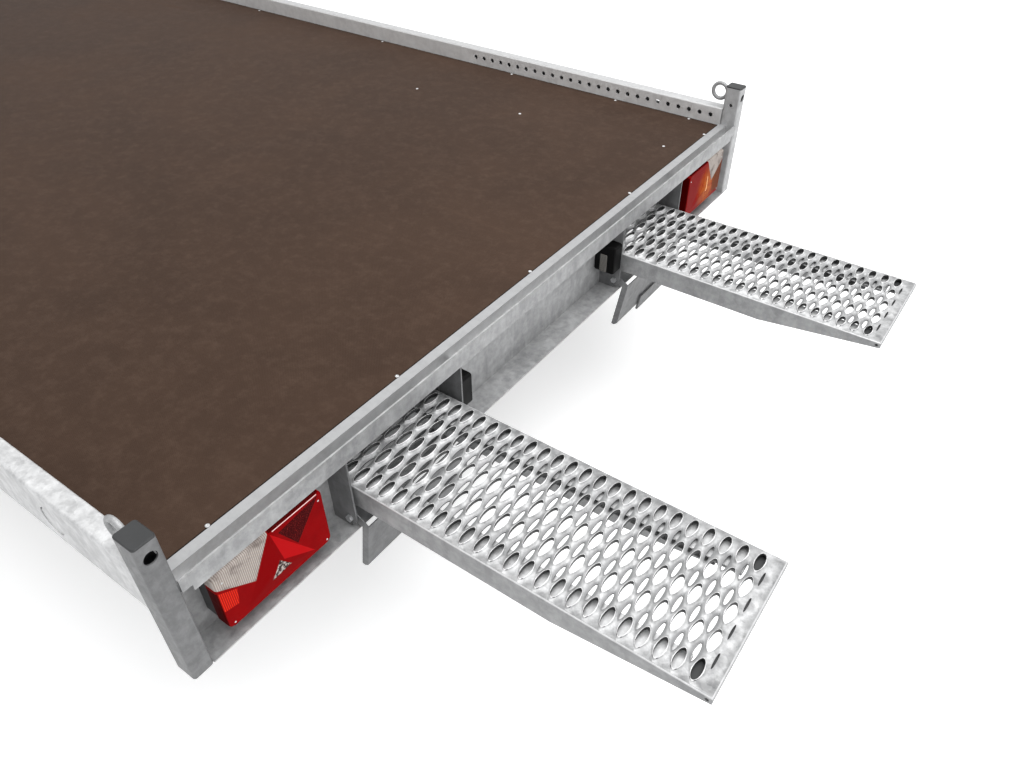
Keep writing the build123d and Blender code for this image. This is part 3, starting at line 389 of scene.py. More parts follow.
def plyBoard(name, look):
    # a pressed mesh with cloudy wear, scuffs along the deck and a dark seam of painted shade, where
    # the lesser of x - rear and halfInner - |y| is under the gap
    mat, tree, shader, coord = startMaterial(name)
    mesh = crossedWaves(tree, coord, look["mesh"])
    cloud = noise(tree, coord, look["cloud"], 5, 0.6, 0.4)
    scuff = noise(tree, stretched(tree, coord, look["scuff"]), 1, 4, 0.65)
    grain = noise(tree, coord, look["grain"], 2, 0.6)
    patch = noise(tree, coord, look["patch"], 5, 0.7)
    wear = times(tree, spread(tree, scuff, 0.52, 0.8), spread(tree, cloud, 0.45, 0.75))
    colour = mixRGBA(tree, spread(tree, cloud, 0.25, 0.75), look["dark"], look["brown"])
    for amount in (times(tree, spread(tree, patch, 0.4, 0.8), 0.35), times(tree, wear, 0.5),
                   times(tree, grain, 0.25)):
        colour = mixRGBA(tree, amount, colour, look["worn"])
    rear = combine(tree, "SUBTRACT", axisOf(tree, coord, 0), look["edges"][0])
    outward = combine(tree, "ABSOLUTE", axisOf(tree, coord, 1))
    side = combine(tree, "SUBTRACT", look["edges"][1], outward)
    nearest = combine(tree, "MINIMUM", rear, side)
    # painted shade in the gap along the rear and side edges of the board
    border = spread(tree, nearest, look["gap"], look["gap"] + look["fade"], 1, 0)
    colour = mixRGBA(tree, border, colour, look["seam"])
    tree.links.new(colour, shader.inputs["Base Color"])
    shader.inputs["Specular IOR Level"].default_value = look["shine"]
    rough = spread(tree, plus(tree, cloud, wear), 0.2, 1.4, *look["rough"])
    tree.links.new(rough, shader.inputs["Roughness"])
    bump(tree, shader, plus(tree, mesh, grain), 0.5, look["height"])
    return mat


def moulded(name, colour, rough, dustiness=0.35, shine=0.5):
    # plastic or rubber with a fine moulded grain and slightly dusty patches
    mat, tree, shader, coord = startMaterial(name)
    grain = noise(tree, coord, 900, 2, 0.5)
    dust = noise(tree, coord, 22, 4, 0.6)
    dusty = tuple(c * 1.7 + 0.01 for c in colour)
    mixed = mixRGBA(tree, spread(tree, dust, 0.4, 0.8, 0, dustiness), colour, dusty)
    tree.links.new(mixed, shader.inputs["Base Color"])
    uneven = spread(tree, dust, 0.3, 0.7, rough - 0.06, rough + 0.08)
    tree.links.new(uneven, shader.inputs["Roughness"])
    shader.inputs["Specular IOR Level"].default_value = shine
    bump(tree, shader, grain, 0.12, 0.0003)
    return mat


def coated(name, colour, rough, metal=0.0):
    # paint with slight orange peel and thin dirt
    mat, tree, shader, coord = startMaterial(name)
    peel = noise(tree, coord, 300, 2, 0.4)
    dirt = noise(tree, coord, 12, 5, 0.65)
    dirty = tuple(c * 0.6 for c in colour)
    mixed = mixRGBA(tree, spread(tree, dirt, 0.5, 0.85, 0, 0.5), colour, dirty)
    tree.links.new(mixed, shader.inputs["Base Color"])
    uneven = spread(tree, dirt, 0.3, 0.8, rough, rough + 0.15)
    tree.links.new(uneven, shader.inputs["Roughness"])
    shader.inputs["Metallic"].default_value = metal
    bump(tree, shader, peel, 0.08, 0.0003)
    return mat


# finishes named as the record's slots, then those that single nodes and pieces take instead
finishes = {
    "galvanised": zinc("galvanised", zincLook["plain"]),
    "zinc": zinc("zinc plated", zincLook["plated"]),
    "plywood": plyBoard("film faced plywood", plyLook),
    "dark_plastic": moulded("dark plastic", (0.022, 0.023, 0.024), 0.55),
    "tyre_rubber": moulded("tyre rubber", (0.018, 0.018, 0.018), 0.72, 0.5),
    "bellows_rubber": moulded("bellows rubber", (0.02, 0.02, 0.02), 0.6),
    "wheel_silver": coated("wheel silver", (0.55, 0.56, 0.57), 0.35, 0.6),
    "dark_metal": coated("dark cast metal", (0.05, 0.05, 0.055), 0.5, 0.4),
    "red_lens": coated("red lens", (0.35, 0.003, 0.006), 0.12),
    "brightZinc": zinc("bright galvanised", zincLook["bright"]),
    "railZinc": zinc("rail galvanised", zincLook["rail"]),
    "gratingZinc": zinc("grating galvanised", zincLook["grating"]),
    "wallZinc": zinc("hole wall galvanised", zincLook["wall"]),
    "rampZinc": zinc("ramp galvanised", zincLook["ramp"]),
    "rearZinc": zinc("rear galvanised", zincLook["rear"]),
    "postZinc": zinc("post galvanised", zincLook["post"]),
    "duskZinc": zinc("shaded galvanised", zincLook["dusk"]),
    "plateLampPlastic": moulded("plate lamp plastic", (0.003, 0.003, 0.003), 0.5, 0.08, 0.08),
}
slotOf = {part["node"]: part["material_slot"] for part in frame["record"]["subparts"]}
# nodes that are duller or brighter than the rest of their slot, most by painted shade or painted light; the
# plate lamps take their own black plastic
toneOf = {
    "corner_posts": "postZinc", "gussets": "duskZinc", "flap_left": "duskZinc", "flap_right": "duskZinc",
    "side_beams": "railZinc", "front_rail": "railZinc", "plate_lamps": "plateLampPlastic",
    "ramp_left": "rampZinc", "ramp_right": "rampZinc", "rear_beam": "rearZinc",
    "chassis_beams": "duskZinc", "cross_members": "duskZinc", "ramp_guides": "duskZinc",
}
for nodeName, node in nodes.items():
    node.data.materials.clear()
    node.data.materials.append(finishes[toneOf.get(nodeName, slotOf[nodeName])])
print("finishes on", len(nodes), "nodes")

grating = {
    "length": 2.500, "half": 0.1505, "edge": 0.1515, "pitch": 0.0319, "spacing": 0.062, "columns": 5,
    "margin": 0.040, "steps": 5, "sheet": 0.0022, "end": 0.003, "lip": 0.0034, "dip": -0.0042,
    "collar": -0.0054, "oval": (0.0082, 0.0232), "slit": (0.0042, 0.0192), "tipSlit": (0.0021, 0.0165),
    "steep": 0.25,
}
# each ramp's tip and centre line
ramps = {"left": (rearX - 0.725, 0.512), "right": (rearX - 0.675, -0.512)}


def diamondTile(look, hole, rings):
    # rings between a hole's ellipse (x = a cos t, y = b sin t) and the diamond |x|/A + |y|/B = 1 about it;
    # each row of rings gives how far the ellipse has grown, its share of the way to the diamond, and z
    turn = np.arange(4 * look["steps"]) / look["steps"]
    corner = turn.astype(int)
    part = (turn - corner)[:, None]
    reach = [look["pitch"] / 2, look["spacing"] / 2]
    corners = np.array([[1, 0], [0, 1], [-1, 0], [0, -1]]) * reach
    diamond = corners[corner] * (1 - part) + corners[(corner + 1) % 4] * part
    angle = turn * np.pi / 2
    rows = []
    for grow, share, z in rings:
        ellipse = np.stack([(hole[0] + grow) * np.cos(angle), (hole[1] + grow) * np.sin(angle)], 1)
        xy = ellipse * (1 - share) + diamond * share
        rows.append(np.column_stack([xy, np.full(len(xy), z)]))
    faces = gridFaces(len(rows), len(turn), wrapColumns=True)[:, ::-1]
    return np.concatenate(rows), [faces]


def gratingTiles(look):
    # from the underside, up the hole's wall and over its rim to the sheet's top: (grow, share, z)
    thick, lip, dip, collar = look["sheet"], look["lip"], look["dip"], look["collar"]
    ovalTile = diamondTile(look, look["oval"], (
        (0, 1, -thick), (0.0010, 0.1, -thick), (0.0005, 0, collar), (0, 0, collar + 0.0002),
        (0, 0, lip - 0.0004), (0.0003, 0, lip), (0.0006, 0.04, lip - 0.0005),
        (0.0006, 0.45, lip * 0.35), (0, 1, 0),
    ))
    slitTile = diamondTile(look, look["slit"], (
        (0, 1, -thick), (0.0004, 0.1, dip - thick), (0, 0, dip - thick), (0, 0, dip + 0.0004),
        (0.0005, 0, dip + 0.0007), (0.0008, 0.35, dip * 0.62), (0, 1, 0),
    ))
    tipTile = diamondTile(look, look["tipSlit"], (
        (0, 1, -thick), (0.0004, 0.1, -thick), (0, 0, -thick), (0, 0, -0.0005), (0.0006, 0, 0), (0, 1, 0),
    ))
    return ovalTile, slitTile, tipTile


def apron(inner, outer, thickness, steps):
    # a flat strip from a zigzag line to a straight one, with one face for every few steps of the zigzag
    # on its top, one on its underside and one on its outer edge: (k steps ... (k + 1) steps, k + 1, k)
    runs = np.arange((len(inner) - 1) // steps)[:, None]
    drop = np.array([0, 0, -thickness])
    corners = outer[::steps]
    near = runs * steps + np.arange(steps + 1)
    far = 2 * len(inner) + runs + [1, 0]
    top = np.hstack([near, far])
    under = np.hstack([near[:, ::-1] + len(inner), far[:, ::-1] + len(corners)])
    edge = np.hstack([far[:, ::-1], far + len(corners)])
    return np.concatenate([inner, inner + drop, corners, corners + drop]), [top, under, edge]


def zigzag(corners, steps):
    # each run between two corners divided in equal steps
    corners = np.asarray(corners, float)
    places = np.arange((len(corners) - 1) * steps + 1) / steps
    spots = np.arange(len(corners))
    line = [np.interp(places, spots, corners[:, axis]) for axis in (0, 1)]
    return np.column_stack([*line, np.zeros(len(places))])


def squeeze(look):
    # how much the outer halves of the outer columns are narrowed, so that the pattern ends inside the fold
    outer = (look["columns"] - 1) / 2 * look["spacing"]
    return (look["half"] - outer) / (look["spacing"] / 2)


def gratingMargins(look, along, columns):
    # plain strips outside the outer diamonds, along both sides and across both ends
    pitch, spacing, thick, steps = (look[key] for key in ("pitch", "spacing", "sheet", "steps"))
    far = look["length"] - look["end"]
    reach = columns[-1] + spacing / 2
    side = [(look["end"], reach), (along[0], reach)]
    for x in along[1:]:
        side += [(x - pitch / 2, columns[-1]), (x, reach)]
    line = zigzag(side + [(far, reach)], steps)
    rim = line.copy()
    rim[:, 1] = reach + (look["edge"] - look["half"]) / squeeze(look)
    mirror = [1, -1, 1]
    strips = [apron(line, rim, thick, steps)]
    strips.append(apron((line * mirror)[::-1], (rim * mirror)[::-1], thick, steps))
    for end, rowPlace, turn in ((look["end"], along[0], -1), (far, along[-1], 1)):
        corners = [(rowPlace, -reach)]
        for number, y in enumerate(columns):
            corners.append((rowPlace + turn * pitch / 2, y))
            if number < len(columns) - 1:
                deep = pitch if turn < 0 else 0
                corners.append((rowPlace + turn * deep, y + spacing / 2))
        line = zigzag(corners + [(rowPlace, reach)], steps)
        rim = line.copy()
        rim[:, 0] = end
        strips.append(apron(line[::-turn], rim[::-turn], thick, 1))
    return strips


def gratingSheet(look):
    # tip at x = 0, centre line at y = 0: ovals at x = margin + i pitch, y = (j - 2) spacing,
    # slits half a pitch and half a spacing between them, plain margins
    pitch, spacing = look["pitch"], look["spacing"]
    ovalTile, slitTile, tipTile = gratingTiles(look)
    rows = int((look["length"] - 2 * look["margin"]) / pitch) + 1
    columns = (np.arange(look["columns"]) - (look["columns"] - 1) / 2) * spacing
    along = look["margin"] + np.arange(rows) * pitch
    between = along - pitch / 2
    ovals = np.array([(x, y, 0) for x in along for y in columns])
    slits = np.array([(x, y, 0) for x in between for y in columns[:-1] + spacing / 2])
    tipCount = len(columns) - 1
    parts = [repeatPiece(*ovalTile, ovals), repeatPiece(*slitTile, slits[tipCount:]),
             repeatPiece(*tipTile, slits[:tipCount])]
    verts, faces = joinArrays(parts + gratingMargins(look, along, columns))
    outside = np.abs(verts[:, 1]) > columns[-1]
    squeezed = columns[-1] + (np.abs(verts[:, 1]) - columns[-1]) * squeeze(look)
    verts[:, 1] = np.where(outside, np.sign(verts[:, 1]) * squeezed, verts[:, 1])
    return weld(verts, faces)


sheetVerts, sheetFaces = gratingSheet(grating)
for sideName, (tipX, centreY) in ramps.items():
    sheetPlace = np.array([tipX, centreY, rampTop])
    sheetObject = putMesh("grating_" + sideName, sheetVerts + sheetPlace, sheetFaces, finishes["gratingZinc"])
    # the holes' upright walls lie in deep shade, so they take a darker zinc
    upright = np.abs(faceValues(sheetObject, "normal")[:, 2]) < grating["steep"]
    addMaterial(sheetObject, finishes["wallZinc"], upright)
    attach(sheetObject, "ramp_" + sideName)
    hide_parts("tread_" + sideName)
print("gratings made,", sum(len(f) for f in sheetFaces), "faces each")

lamp = {
    "middle": (0.863, deckZ - 0.116), "half": (0.120, 0.070), "corner": 0.014, "edge": 0.0045,
    "face": rearX + 0.003, "depth": 0.027, "spine": 0.050, "rings": 22, "raise": 0.0045, "slope": 0.11,
    "arcSteps": 8, "sideSteps": 16,
}
# places on the lens in metres, u from the lamp's middle towards the post and v up
lampZones = {
    "reflector": ((0.000, 0.066), (-0.078, -0.058), (0.078, -0.058)),
    "bright facet": ((0.000, 0.064), (-0.078, -0.058), (-0.012, -0.012)),
    "window": ((-0.002, -0.005), (-0.024, -0.037), (0.020, -0.040)),
    "clear": ((0.002, 0.072), (0.049, -0.010), (0.126, 0.044), (0.126, 0.090), (0.002, 0.090)),
    "ribbed bright": ((0.124, 0.034), (0.084, 0.009), (0.089, -0.026), (0.118, -0.019)),
    "ribbed dark": ((-0.016, 0.052), (-0.110, 0.062), (-0.049, -0.008)),
    "glint": ((-0.006, 0.0648), (-0.108, 0.0648), (-0.108, 0.0668), (-0.006, 0.0668)),
    "top side": ((-0.130, 0.0676), (0.001, 0.0676), (0.001, 0.090), (-0.130, 0.090)),
    "inner side": ((-0.130, -0.080), (-0.1182, -0.080), (-0.1182, 0.080), (-0.130, 0.080)),
    "outer side": ((0.1182, -0.080), (0.130, -0.080), (0.130, 0.031), (0.1182, 0.031)),
    "highlightStreak": ((0.012, 0.018), (0.017, 0.018), (0.011, -0.028), (0.006, -0.028)),
    "brown": ((0.060, 0.006), (0.122, 0.036), (0.122, -0.066), (0.062, -0.050)),
}
# colours of the zones, in pairs where a pattern runs from one to the other
lensLook = {
    "red": ((0.20, 0.001, 0.002), (0.33, 0.002, 0.003)), "reflector": (0.24, 0.001, 0.002),
    "facet": (0.50, 0.006, 0.008), "grit": ((0.05, 0.002, 0.003), (0.30, 0.02, 0.015)),
    "glow": ((0.40, 0.008, 0.005), (0.82, 0.030, 0.014)), "side": (0.07, 0.001, 0.001),
    "glint": (0.95, 0.72, 0.70), "clear": ((0.34, 0.29, 0.26), (0.58, 0.52, 0.48)),
    # the cloud colour is painted shade in the clear zone, and the pair after it a painted reflection in the
    # small window
    "cloud": (0.14, 0.11, 0.10), "windowReflection": ((0.05, 0.03, 0.03), (0.62, 0.54, 0.50)),
    "amberBase": (0.22, 0.004, 0.003), "amber": (0.50, 0.12, 0.010), "brown": (0.12, 0.040, 0.009),
    "highlightStreak": (1.0, 0.62, 0.30), "warmSpot": (0.018, -0.012), "warmReach": (0.012, 0.085),
    "ribWidth": 0.0036, "rough": 0.30, "ior": 1.04, "coat": 0.03, "coatRough": (0.03, 0.10),
    "height": 0.0006,
}


def roundedOutline(half, radius, arcSteps, sideSteps):
    # four quarter circles, centre + radius (cos t, sin t), joined by evenly divided straight runs,
    # counter-clockwise
    quarters = np.arange(4)[:, None] * np.pi / 2 + np.linspace(0, np.pi / 2, arcSteps + 1)
    centres = np.array([(1, 1), (-1, 1), (-1, -1), (1, -1)]) * (np.asarray(half) - radius)
    arcs = centres[:, None] + radius * np.stack([np.cos(quarters), np.sin(quarters)], -1)
    share = (np.arange(1, sideSteps) / sideSteps)[:, None]
    points = []
    for arc, following in zip(arcs, np.roll(arcs, -1, axis=0)):
        points += [arc, arc[-1] * (1 - share) + following[0] * share]
    return np.concatenate(points)


def insetOutline(look, inset, arcSteps, sideSteps):
    # the outline of a piece, drawn in on all sides
    half = (look["half"][0] - inset, look["half"][1] - inset)
    return roundedOutline(half, look["corner"] - inset, arcSteps, sideSteps)


def polygonSides(corners):
    # a convex polygon's corners and the unit normals of its sides that point inwards
    corners = np.asarray(corners, float)
    following = np.roll(corners, -1, axis=0)
    area = np.sum(corners[:, 0] * following[:, 1] - following[:, 0] * corners[:, 1])
    run = following - corners
    length = np.linalg.norm(run, axis=1)[:, None]
    return corners, np.sign(area) * np.column_stack([-run[:, 1], run[:, 0]]) / length


def insideDistance(points, corners):
    # the least distance inwards from the polygon's sides, (p - corner) . normal, negative outside it
    corners, normal = polygonSides(corners)
    return ((points[:, None] - corners[None]) * normal[None]).sum(2).min(1)


def lensSurface(look, side):
    # side wall, a quarter-round edge (inset = e (1 - cos t), depth = e (1 - sin t)), then rings that
    # shrink to a spine; a flat pyramid stands on the reflector
    steps = look["arcSteps"], look["sideSteps"]
    outline = insetOutline(look, 0, *steps)
    count = len(outline)
    edge = look["edge"]
    rows = [np.column_stack([np.full(count, look["depth"]), outline])]
    for angle in np.linspace(0, np.pi / 2, 6)[:-1]:
        ring = insetOutline(look, edge * (1 - np.cos(angle)), *steps)
        rows.append(np.column_stack([np.full(count, edge * (1 - np.sin(angle))), ring]))
    rim = insetOutline(look, edge, *steps)
    spine = np.column_stack([np.clip(rim[:, 0], -look["spine"], look["spine"]), np.zeros(count)])
    for share in np.linspace(1, 0, look["rings"]):
        ring = spine + (rim - spine) * share
        rise = insideDistance(ring, lampZones["reflector"]) * look["slope"]
        rows.append(np.column_stack([-np.clip(rise, 0, look["raise"]), ring]))
    rows = np.stack(rows)
    y = side * (look["middle"][0] + rows[..., 1])
    verts = np.stack([look["face"] + rows[..., 0], y, look["middle"][1] + rows[..., 2]], -1)
    faces = gridFaces(len(rows), count, wrapColumns=True)
    return verts.reshape(-1, 3), [faces if side < 0 else faces[:, ::-1]]


def zoneMask(tree, flatPlace, corners, soft=0.0004):
    # one dot product for each side of the polygon, the least of them, then a narrow soft step
    least = None
    for (cx, cy), (nx, ny) in zip(*polygonSides(corners)):
        node = tree.nodes.new("ShaderNodeVectorMath")
        node.operation = "DOT_PRODUCT"
        tree.links.new(flatPlace, node.inputs[0])
        node.inputs[1].default_value = (nx, ny, -(nx * cx + ny * cy))
        distance = node.outputs["Value"]
        least = distance if least is None else combine(tree, "MINIMUM", least, distance)
    return spread(tree, least, -soft, soft)


def lampPlane(tree, coord, look, side):
    # (u, v, 1) on the lamp's face: u = side y - middle, v = z - middle
    u = combine(tree, "SUBTRACT", times(tree, axisOf(tree, coord, 1), side), look["middle"][0])
    v = combine(tree, "SUBTRACT", axisOf(tree, coord, 2), look["middle"][1])
    pack = tree.nodes.new("ShaderNodeCombineXYZ")
    tree.links.new(u, pack.inputs[0])
    tree.links.new(v, pack.inputs[1])
    pack.inputs[2].default_value = 1
    return u, pack.outputs[0]


def amberZones(tree, coord, flatPlace, masks, colours, colour):
    # the right lamp's lower part: a warm spot that fades outwards, a brown side and a painted highlight in a
    # bright upright stripe
    span = tree.nodes.new("ShaderNodeVectorMath")
    span.operation = "DISTANCE"
    tree.links.new(flatPlace, span.inputs[0])
    span.inputs[1].default_value = (*colours["warmSpot"], 1)
    near = spread(tree, span.outputs["Value"], *colours["warmReach"], 1, 0)
    warm = times(tree, near, spread(tree, noise(tree, coord, 75, 4, 0.75), 0.25, 0.6))
    colour = mixRGBA(tree, 0.85, colour, colours["amberBase"])
    colour = mixRGBA(tree, warm, colour, colours["amber"])
    colour = mixRGBA(tree, times(tree, masks["brown"], 0.75), colour, colours["brown"])
    return mixRGBA(tree, masks["highlightStreak"], colour, colours["highlightStreak"])


def lensMaterial(name, look, colours, side, withAmber):
    # zones of red, clear and amber plastic in lamp coordinates, fine ribs and a thin coat
    mat, tree, shader, coord = startMaterial(name)
    u, flatPlace = lampPlane(tree, coord, look, side)
    masks = {zone: zoneMask(tree, flatPlace, corners) for zone, corners in lampZones.items()}
    cloud = noise(tree, coord, 30, 3, 0.6)
    grit = noise(tree, coord, 420, 2, 0.7)
    ribs = ribbed(tree, u, colours["ribWidth"])
    ribShare = spread(tree, ribs, -1, 1)
    colour = mixRGBA(tree, cloud, *colours["red"])
    colour = mixRGBA(tree, masks["reflector"], colour, colours["reflector"])
    # painted light: the facet that faces the light is painted brighter
    colour = mixRGBA(tree, masks["bright facet"], colour, colours["facet"])
    if withAmber:
        colour = amberZones(tree, coord, flatPlace, masks, colours, colour)
    else:
        gritty = mixRGBA(tree, spread(tree, grit, 0.5, 0.75), *colours["grit"])
        colour = mixRGBA(tree, masks["ribbed dark"], colour, gritty)
        glow = mixRGBA(tree, ribShare, *colours["glow"])
        colour = mixRGBA(tree, masks["ribbed bright"], colour, glow)
    # painted shade on the lens's top and side walls
    sides = greatest(tree, masks["top side"], masks["outer side"], masks["inner side"])
    colour = mixRGBA(tree, sides, colour, colours["side"])
    # painted highlight along the top edge of the left lens
    if not withAmber:
        colour = mixRGBA(tree, masks["glint"], colour, colours["glint"])
    beige = mixRGBA(tree, ribShare, *colours["clear"])
    # painted shade: darker patches in the clear zone
    shadedPatches = spread(tree, noise(tree, coord, 26, 3, 0.6), 0.42, 0.70, 0, 0.8)
    colour = mixRGBA(tree, masks["clear"], colour, mixRGBA(tree, shadedPatches, beige, colours["cloud"]))
    # painted reflection: the left lamp's small window takes mottled light and dark as a mirror would show
    if not withAmber:
        mirrored = spread(tree, noise(tree, coord, 160, 2, 0.6), 0.44, 0.64)
        windowReflection = mixRGBA(tree, mirrored, *colours["windowReflection"])
        colour = mixRGBA(tree, masks["window"], colour, windowReflection)
    tree.links.new(colour, shader.inputs["Base Color"])
    shader.inputs["Roughness"].default_value = colours["rough"]
    shader.inputs["IOR"].default_value = colours["ior"]
    shader.inputs["Coat Weight"].default_value = colours["coat"]
    coatRough = spread(tree, cloud, 0.3, 0.7, *colours["coatRough"])
    tree.links.new(coatRough, shader.inputs["Coat Roughness"])
    ribbedZones = greatest(tree, masks["clear"], masks["ribbed bright"])
    relief = shares(tree, (ribs, ribbedZones), (grit, masks["ribbed dark"]))
    bump(tree, shader, relief, 0.4, colours["height"])
    return mat


lensParts = weld(*joinArrays([lensSurface(lamp, 1), lensSurface(lamp, -1)]))
lenses = putMesh("lamp_glass", *lensParts, lensMaterial("lens left", lamp, lensLook, 1, False))
onRight = faceValues(lenses, "center")[:, 1] < 0
addMaterial(lenses, lensMaterial("lens right", lamp, lensLook, -1, True), onRight)
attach(lenses, "chassis")
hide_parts("lamp_lenses")
print("lamps made")


def lathe(profile, steps, axis=2):
    # a profile of (radius, height) turned about an axis: x = r cos t, y = r sin t, height along the axis
    profile = np.asarray(profile, float)
    angle = np.arange(steps) * 2 * np.pi / steps
    radius, height = profile[:, :1], profile[:, 1:]
    rings = np.stack([radius * np.cos(angle), radius * np.sin(angle), np.repeat(height, steps, 1)], -1)
    verts = np.roll(rings.reshape(-1, 3), (axis + 1) % 3, axis=1)
    return verts, [gridFaces(len(profile), steps, wrapColumns=True)]


# places along the deck from the rear and across from the centre line
screws = {
    "radius": 0.0043, "height": 0.0010, "steps": 18, "inset": 0.0105,
    "rails": (0.150, 0.417, 0.839, 1.455, 2.162, 2.880, 3.610, 4.230),
    "ends": (-0.938, -0.471, 0.005, 0.470, 0.931), "rear": 0.059, "front": 4.450,
    "middle": ((1.023, -0.720), (0.612, -0.745), (0.121, -0.790),
               (1.500, 0.512), (2.500, 0.512), (3.500, 0.512)),
}


def screwHead(look):
    # a shallow dome with a round recess, its rim set a little into the board
    r, h = look["radius"], look["height"]
    profile = ((0, h * 0.25), (r * 0.34, h * 0.25), (r * 0.42, h), (r * 0.75, h * 0.85),
               (r, h * 0.3), (r, -h * 0.3))
    return weld(*lathe(profile, look["steps"]))


railLine = halfInner - screws["inset"]
deckPlaces = [(rearX + d, side * railLine, deckZ) for d in screws["rails"] for side in (1, -1)]
deckPlaces += [(rearX + d, y, deckZ) for d in (screws["rear"], screws["front"]) for y in screws["ends"]]
deckPlaces += [(rearX + d, y, deckZ) for d, y in screws["middle"]]
screwVerts, screwFaces = repeatPiece(*screwHead(screws), np.array(deckPlaces))
deckScrews = putMesh("deck_screws", screwVerts, screwFaces, finishes["brightZinc"])
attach(deckScrews, "chassis")
print("deck screws:", len(deckPlaces))

lampScrews = {
    "radius": 0.0020, "height": 0.0006, "steps": 14,
    "spots": ((-0.109, 0.048), (-0.109, -0.060), (0.107, -0.060), (0.105, 0.047)),
}
headVerts, headFaces = screwHead(lampScrews)
headVerts = headVerts[:, [2, 1, 0]] * [-1, 1, 1]  # turned to face the rear
lampU, lampV = lamp["middle"]
spots = [(lamp["face"], side * (lampU + u), lampV + v) for u, v in lampScrews["spots"] for side in (1, -1)]
lampScrewVerts, lampScrewFaces = repeatPiece(headVerts, headFaces, np.array(spots))
lampHeads = putMesh("lamp_screws", lampScrewVerts, lampScrewFaces, finishes["zinc"])
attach(lampHeads, "chassis")

plateLamp = {
    "face": 0.307, "middle": (rearX + 0.0345, deckZ - 0.127), "half": (0.0105, 0.026), "corner": 0.004,
    "depth": 0.0012, "sunk": 0.0004, "ribWidth": 0.0035,
    "ribs": ((0.05, 0.045, 0.04), (0.20, 0.19, 0.17)), "rough": (0.12, 0.24), "coat": 0.6,
}


def plateWindow(look, side):
    # a small pillow: rounded outlines at (inset, rise), closed by a ring that shrinks to its middle
    depth = look["depth"]
    rows = []
    for inset, rise in ((0, -look["sunk"]), (0, depth * 0.6), (0.0008, depth), (0.004, depth)):
        half = (look["half"][0] - inset, look["half"][1] - inset)
        outline = roundedOutline(half, max(look["corner"] - inset, 0.001), 5, 3)
        rows.append(np.column_stack([outline, np.full(len(outline), rise)]))
    spine = rows[-1].copy()
    spine[:, 0] = 0
    spine[:, 1] = np.clip(spine[:, 1], -look["half"][1] * 0.6, look["half"][1] * 0.6)
    across, upward, rise = np.moveaxis(np.stack(rows + [spine]), -1, 0)
    y = side * (look["face"] - rise)
    verts = np.stack([look["middle"][0] + across, y, look["middle"][1] + upward], -1)
    faces = gridFaces(*across.shape, wrapColumns=True)
    return verts.reshape(-1, 3), [faces[:, ::-1] if side > 0 else faces]


def windowMaterial(name, look):
    # clear ribbed plastic over a pale reflector
    mat, tree, shader, coord = startMaterial(name)
    ribs = ribbed(tree, axisOf(tree, coord, 2), look["ribWidth"])
    colour = mixRGBA(tree, spread(tree, ribs, -1, 1), *look["ribs"])
    tree.links.new(colour, shader.inputs["Base Color"])
    rough = spread(tree, noise(tree, coord, 90, 2, 0.5), 0.3, 0.7, *look["rough"])
    tree.links.new(rough, shader.inputs["Roughness"])
    shader.inputs["Coat Weight"].default_value = look["coat"]
    bump(tree, shader, ribs, 0.4, 0.0005)
    return mat


windowParts = weld(*joinArrays([plateWindow(plateLamp, 1), plateWindow(plateLamp, -1)]))
windows = putMesh("plate_windows", *windowParts, windowMaterial("plate window", plateLamp))
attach(windows, "chassis")
print("lamp screws and plate lamp windows made")

# blocks under the grating: from the tip along the ramp, out from its centre line, and below its top
pads = {"along": (0.016, 0.050), "across": (0.098, 0.150), "height": (-0.0155, -0.0075), "corner": 0.006}
# painted shade: small dark blocks in the sides near the tip stand in for the dark inside of drain holes
drainShades = {"along": (0.0045, 0.0135), "across": (0.146, 0.151), "height": (-0.0125, -0.0035), "corner": 0.001}
tipStrip = {"along": (0.017, 0.032), "across": (-0.114, 0.114), "height": (-0.0070, -0.0040), "corner": 0.002}
covers = {"along": (0.0585, 2.485), "across": (0.0945, 0.1512), "height": (-0.0145, -0.0115), "corner": 0.001}


def rampBlock(look, turn):
    # a block with rounded upright edges, bevels of 0.3 corner and ends closed by a ring on its spine
    half = [(look[key][1] - look[key][0]) / 2 for key in ("along", "across")]
    middle = (look["along"][0] + half[0], turn * (look["across"][0] + half[1]), 0)
    bevel = look["corner"] * 0.3
    rows = []
    for inset, level in ((bevel, 0), (0, 0), (0, 1), (bevel, 1)):
        outline = roundedOutline((half[0] - inset, half[1] - inset), look["corner"] - inset, 4, 2)
        rows.append(np.column_stack([outline, np.full(len(outline), look["height"][level])]))
    low, high = [-half[0], 0, -1], [half[0], 0, 1]
    rows = np.stack([np.clip(rows[0], low, high)] + rows + [np.clip(rows[-1], low, high)]) + middle
    return rows.reshape(-1, 3), [gridFaces(len(rows), rows.shape[1], wrapColumns=True)]


tipBlocks = [rampBlock(look, turn) for look in (pads, drainShades) for turn in (1, -1)] + [rampBlock(tipStrip, 1)]
padVerts, padFaces = weld(*joinArrays(tipBlocks))
coverVerts, coverFaces = weld(*joinArrays([rampBlock(covers, 1), rampBlock(covers, -1)]))
for sideName, (tipX, centreY) in ramps.items():
    rampPlace = [tipX, centreY, rampTop]
    padObject = putMesh("tip_pads_" + sideName, padVerts + rampPlace, padFaces, finishes["dark_plastic"])
    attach(padObject, "ramp_" + sideName)
    coverName = "stringer_covers_" + sideName
    coverObject = putMesh(coverName, coverVerts + rampPlace, coverFaces, finishes["railZinc"])
    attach(coverObject, "ramp_" + sideName)
print("tip pads and stringer covers made")

